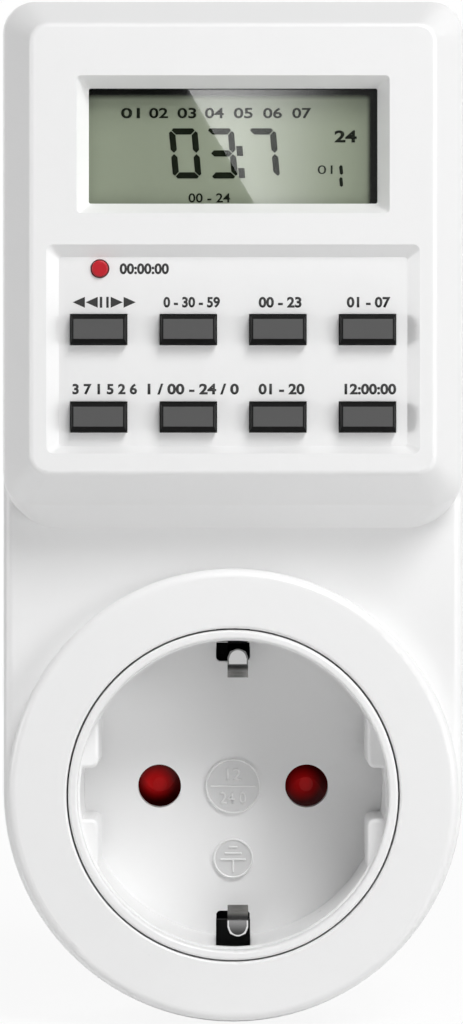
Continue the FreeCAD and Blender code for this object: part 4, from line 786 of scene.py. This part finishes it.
def panel_marks():
    """Printed figures and signs above the keys and beside the reset button."""
    _, sizes = settings()
    bm = bmesh.new()
    height = sizes.label_height / MM
    high_row, low_row = 60.7, 49.95
    figures = (
        ("01 - 07", 16.78, high_row, 5.4),
        ("00 - 23", 5.82, high_row, 5.3),
        ("0 - 30 - 59", -5.13, high_row, 7.0),
        ("12:00:00", 17.0, low_row, 6.4),
        ("01 - 20", 6.0, low_row, 5.7),
        ("1 / 00 - 24 / 0", -4.94, low_row, 11.3),
        ("3 7 1 5 2 6", -15.9, low_row, 8.0),
        ("00:00:00", -11.0, 64.85, 6.1),
    )
    for text, x, z, width in figures:
        write_figures(bm, text, x, z, width, height, 0.035)
    middle, centre = high_row + height / 2, -15.96
    for side in (-1, 1):
        for outer, inner in ((3.9, 2.4), (2.3, 0.8)):
            flat_face(bm, ((centre + outer * side, middle), (centre + inner * side, high_row),
                           (centre + inner * side, high_row + height)))
        bar(bm, *sorted((centre + 0.55 * side, centre + 0.25 * side)), high_row, high_row + height)
    thicken(bm, front_of("front_case") - PANEL_DEPTH, sizes.ink_depth)
    new_piece("panel_marks", bm, "panel_ink")


def display_marks():
    """Segments, day figures and small signs of the display."""
    _, sizes = settings()
    bm = bmesh.new()
    width, height = sizes.digit_width / MM, sizes.digit_height / MM
    thick = sizes.segment_width / MM
    foot, lean = 76.9, -0.09
    outlines = digit_segments(width, height, thick)
    for figure, left in (("0", -7.46), ("3", -2.93), ("7", 2.3)):
        for letter in SEGMENTS_OF[figure]:
            leaned_face(bm, outlines[letter], left, foot, lean)
    for low in (0.05, 2.8):
        leaned_face(bm, ((0, low), (0.78, low), (0.78, low + 1.25), (0, low + 1.25)), 0.74, foot, lean)
    for day, x in enumerate(DAY_CENTRES, 1):
        write_figures(bm, f"{day:02d}", x, 84.4, 2.35, 1.3, 0.02)
    write_figures(bm, "00 - 24", -2.95, 73.92, 5.2, 1.15, 0.015)
    write_figures(bm, "24", 14.0, 81.4, 2.75, 1.5, 0.03)
    write_figures(bm, "01", 11.45, 77.45, 1.85, 1.1, 0.0)
    small = ((0, 0.15), (0.2, 0), (0.42, 0.2), (0.42, 1.1), (0.22, 1.25), (0, 1.0))
    for low in (77.35, 75.85):
        leaned_face(bm, small, 13.3, low, -0.1)
    thicken(bm, front_of("lcd_glass") + SEGMENT_LIFT, sizes.ink_depth)
    new_piece("display_marks", bm, "display_segment")


def round_bar(bm, left, right, low, high, front, relief):
    """A raised bar with soft edges on the socket's floor, in mm."""
    size = ((right - left) * MM, relief * MM * 2, (high - low) * MM)
    centre = ((left + right) / 2 * MM, -front * MM, (low + high) / 2 * MM)
    shape = Matrix.Translation(centre) @ Matrix.Diagonal((*size, 1))
    made = bmesh.ops.create_cube(bm, size=1.0, matrix=shape)
    edges = {edge for vert in made["verts"] for edge in vert.link_edges}
    bmesh.ops.bevel(bm, geom=list(edges), offset=MARK_BEVEL * MM, offset_type="OFFSET", segments=2,
                    profile=0.5, affect="EDGES", clamp_overlap=True, material=-1)


def round_ridge(bm, x, z, radius, half_width, front, relief):
    """A raised ring with a rounded top, in mm."""
    profile = [(radius - half_width, -0.05), (radius - half_width * 0.7, relief * 0.7), (radius, relief),
               (radius + half_width * 0.7, relief * 0.7), (radius + half_width, -0.05)]
    verts = [bm.verts.new(((x + r) * MM, -(front + f) * MM, z * MM)) for r, f in profile]
    edges = [bm.edges.new((verts[i - 1], verts[i])) for i in range(len(verts))]
    bmesh.ops.spin(bm, geom=verts + edges, cent=(x * MM, 0, z * MM), axis=(0, 1, 0), angle=math.tau,
                   steps=64, use_merge=True)


def raised_figures(bm, text, x, z, width, height, front, relief):
    """Moulded figures that stand on a front level, in mm."""
    figures = bmesh.new()
    write_figures(figures, text, x, z, width, height, 0.01)
    thicken(figures, front - MARK_SUNK, (relief + MARK_SUNK) * MM)
    mesh = bpy.data.meshes.new("figures")
    figures.to_mesh(mesh)
    figures.free()
    bm.from_mesh(mesh)
    bpy.data.meshes.remove(mesh)


def floor_marks():
    """Moulded rings, the line, figures and the earth sign on the socket's floor."""
    _, sizes = settings()
    relief = sizes.mark_relief / MM
    bm = bmesh.new()
    front = front_of("socket_insert") - RECESS_DEPTH + DISC_RELIEF
    for z, radius in ((0, CENTRE_DISC_RADIUS), (EARTH_DISC_Z, EARTH_DISC_RADIUS)):
        round_ridge(bm, 0, z, radius - 0.15, 0.15, front, relief)
    round_bar(bm, -2.9, 2.9, -0.1, 0.1, front, relief)
    raised_figures(bm, "12", 0.1, 0.75, 1.9, 1.6, front, relief * 0.6)
    raised_figures(bm, "24 0", 0.0, -2.3, 3.4, 1.6, front, relief * 0.6)
    for half, z in ((0.55, -7.85), (1.1, -8.65), (1.65, -9.45)):
        round_bar(bm, -half, half, z - 0.11, z + 0.11, front, relief)
    round_bar(bm, -0.11, 0.11, -11.1, -9.45, front, relief)
    new_piece("floor_marks", bm, "floor_mark")


def set_camera():
    """A long lens straight in front, like the picture's."""
    _, sizes = settings()
    data = bpy.data.cameras.new("photo_view")
    data.sensor_width = CAMERA_SENSOR
    data.lens = CAMERA_LENS
    data.clip_start = 0.01
    data.clip_end = 20.0
    camera = bpy.data.objects.new("photo_view", data)
    camera.location = (CAMERA_X * MM, -sizes.camera_distance, sizes.camera_height)
    camera.rotation_euler = (math.radians(90), 0, 0)
    bpy.context.scene.collection.objects.link(camera)
    bpy.context.scene.camera = camera


def area_light(name, direction, width, strength):
    """A soft square panel light that faces the timer from one side."""
    data = bpy.data.lights.new(name, "AREA")
    data.shape = "RECTANGLE"
    data.size, data.size_y = width, width
    data.energy = strength
    lamp = bpy.data.objects.new(name, data)
    toward = Vector(direction).normalized()
    lamp.location = Vector(LAMP_AIM) + toward * LAMP_DISTANCE
    lamp.rotation_euler = toward.to_track_quat("Z", "Y").to_euler()
    bpy.context.scene.collection.objects.link(lamp)
    return lamp


def seen_rays(graph):
    """1 for rays that see the surround directly, in gloss or through glass."""
    path = graph.node("LightPath")
    gloss = graph.value("MAXIMUM", path.outputs["Is Glossy Ray"], path.outputs["Is Transmission Ray"])
    return graph.value("MAXIMUM", path.outputs["Is Camera Ray"], gloss)


def background_world():
    """Even light; cameras, mirrors and glass see a white surround."""
    world = bpy.data.worlds.new("studio")
    world.use_nodes = True
    bpy.context.scene.world = world
    graph = Graph(world.node_tree)
    even = world.node_tree.nodes["Background"]
    white = graph.node("Background")
    for surround, strength in ((even, 0.06), (white, 1.0)):
        surround.inputs["Color"].default_value = (1, 1, 1, 1)
        surround.inputs["Strength"].default_value = strength
    shown = graph.blend_shaders(seen_rays(graph), even.outputs[0], white.outputs[0])
    graph.join(shown, world.node_tree.nodes["World Output"].inputs["Surface"])


def floor_finish():
    """Pale floor that shows as white and keeps a faint shadow."""
    material = bpy.data.materials.new("studio_floor")
    material.use_nodes = True
    graph = Graph(material.node_tree)
    shader = material.node_tree.nodes["Principled BSDF"]
    shader.inputs["Base Color"].default_value = (0.85, 0.85, 0.85, 1)
    shader.inputs["Roughness"].default_value = 0.8
    glow = graph.node("Emission")
    glow.inputs["Strength"].default_value = 1.0
    away = graph.node("VectorMath", operation="LENGTH")
    graph.join(graph.place(), away.inputs[0])
    share = graph.value("MULTIPLY_ADD", graph.ramp(away.outputs["Value"], 0.3, 1.2), 0.1, 0.9)
    seen = graph.value("MULTIPLY", seen_rays(graph), share)
    shown = graph.blend_shaders(seen, shader.outputs[0], glow.outputs[0])
    graph.join(shown, graph.tree.nodes["Material Output"].inputs["Surface"])
    return material


def stage_plane(name, bm, material):
    mesh = bpy.data.meshes.new(name)
    bm.to_mesh(mesh)
    bm.free()
    plane = bpy.data.objects.new(name, mesh)
    mesh.materials.append(material)
    bpy.context.scene.collection.objects.link(plane)
    return plane


def gloss_card(name, corners, front, left_strength, right_strength):
    """A lit panel behind the camera that only gloss sees; corners are (x, z) in mm."""
    material = bpy.data.materials.new(name)
    material.use_nodes = True
    graph = Graph(material.node_tree)
    glow = graph.node("Emission")
    fall = graph.ramp(graph.axis("X"), -6 * MM, 34 * MM)
    strength = graph.value("MULTIPLY_ADD", fall, right_strength - left_strength, left_strength)
    graph.join(strength, glow.inputs["Strength"])
    graph.join(glow.outputs[0], graph.tree.nodes["Material Output"].inputs["Surface"])
    bm = bmesh.new()
    bm.faces.new([bm.verts.new((x * MM, -front * MM, z * MM)) for x, z in corners])
    card = stage_plane(name, bm, material)
    card.visible_camera = False
    card.visible_diffuse = False
    card.visible_shadow = False


def build_stage():
    """Floor, surround, lamps, the two cards that the window mirrors, and the camera."""
    bm = bmesh.new()
    bmesh.ops.create_grid(bm, x_segments=1, y_segments=1, size=FLOOR_HALF,
                          matrix=Matrix.Translation((0, 0, CAD_BOX[0][2] - 0.2 * MM)))
    stage_plane("floor", bm, floor_finish())
    background_world()
    area_light("key_light", (0.3, -0.6, 0.74), 0.35, 5.5)
    area_light("side_light", (0.75, -0.64, 0.12), 0.3, 1.85)
    area_light("left_fill", (-0.95, -0.2, 0.1), 0.4, 2.15)
    area_light("right_fill", (0.95, -0.25, 0.1), 0.4, 0.4)
    area_light("back_fill", (0.1, 0.95, 0.25), 0.4, 4.8).visible_glossy = False
    left, right, low, high = -62, 62, 100, 170
    front = settings()[1].camera_distance / MM + CARDS_BEHIND_CAMERA
    gloss_card("dark_card", ((left, low), (right, low), (right, high), (left, high)), front + 1, 0.02, 0.02)
    gloss_card("softbox_card", ((-23.2, high), (17.4, low), (right, low), (right, high)), front, 1.8, 0.08)
    set_camera()
    bpy.context.scene.view_settings.view_transform = "Standard"


def dress_nodes():
    """Gives every CAD node its finish."""
    FINISHES.update(make_finishes())
    for part in frame["record"]["subparts"]:
        node = frame["nodes"][part["node"]]
        for place in node.material_slots:
            place.material = FINISHES[OWN_FINISHES.get(part["node"], part["material_slot"])]


class TIMER_OT_finishes(bpy.types.Operator):
    """Give every modelled part its finish"""

    bl_idname = "timer.finishes"
    bl_label = "Finishes"

    def execute(self, context):
        dress_nodes()
        return {"FINISHED"}


class TIMER_OT_keypad_domes(bpy.types.Operator):
    """Split the keypad mat into a sheet and one dome under each key"""

    bl_idname = "timer.keypad_domes"
    bl_label = "Keypad Domes"

    def execute(self, context):
        keypad_domes()
        return {"FINISHED"}


class TIMER_OT_panel_marks(bpy.types.Operator):
    """Print the figures and signs on the key panel"""

    bl_idname = "timer.panel_marks"
    bl_label = "Panel Marks"

    def execute(self, context):
        panel_marks()
        return {"FINISHED"}


class TIMER_OT_display_marks(bpy.types.Operator):
    """Draw the display's segments, day figures and signs"""

    bl_idname = "timer.display_marks"
    bl_label = "Display Marks"

    def execute(self, context):
        display_marks()
        return {"FINISHED"}


class TIMER_OT_floor_marks(bpy.types.Operator):
    """Raise the rings, line and earth sign on the socket's floor"""

    bl_idname = "timer.floor_marks"
    bl_label = "Socket Floor Marks"

    def execute(self, context):
        floor_marks()
        return {"FINISHED"}


class TIMER_OT_stage(bpy.types.Operator):
    """Set the floor, lights, surround and camera"""

    bl_idname = "timer.stage"
    bl_label = "Stage"

    def execute(self, context):
        build_stage()
        return {"FINISHED"}


OPERATORS = (TIMER_OT_finishes, TIMER_OT_keypad_domes, TIMER_OT_panel_marks, TIMER_OT_display_marks,
             TIMER_OT_floor_marks, TIMER_OT_stage)


class TIMER_PT_dressing(bpy.types.Panel):
    """Buttons for each step, and the settings"""

    bl_idname = "TIMER_PT_dressing"
    bl_label = "Plug-in Timer"
    bl_space_type = "VIEW_3D"
    bl_region_type = "UI"
    bl_category = "Timer"

    def draw(self, context):
        for operator in OPERATORS:
            self.layout.operator(operator.bl_idname)
        for group in (context.scene.timer_colours, context.scene.timer_sizes):
            box = self.layout.box()
            for name in group.bl_rna.properties.keys():
                if name not in {"rna_type", "name"}:
                    box.prop(group, name)


CLASSES = (TimerColours, TimerSizes, *OPERATORS, TIMER_PT_dressing)


def register():
    for item in CLASSES:
        bpy.utils.register_class(item)
    bpy.types.Scene.timer_colours = PointerProperty(type=TimerColours)
    bpy.types.Scene.timer_sizes = PointerProperty(type=TimerSizes)


def unregister():
    del bpy.types.Scene.timer_sizes
    del bpy.types.Scene.timer_colours
    for item in reversed(CLASSES):
        bpy.utils.unregister_class(item)


def main():
    register()
    bpy.ops.timer.finishes()
    bpy.ops.timer.keypad_domes()
    bpy.ops.timer.panel_marks()
    bpy.ops.timer.display_marks()
    bpy.ops.timer.floor_marks()
    bpy.ops.timer.stage()


if __name__ == "__main__":
    main()
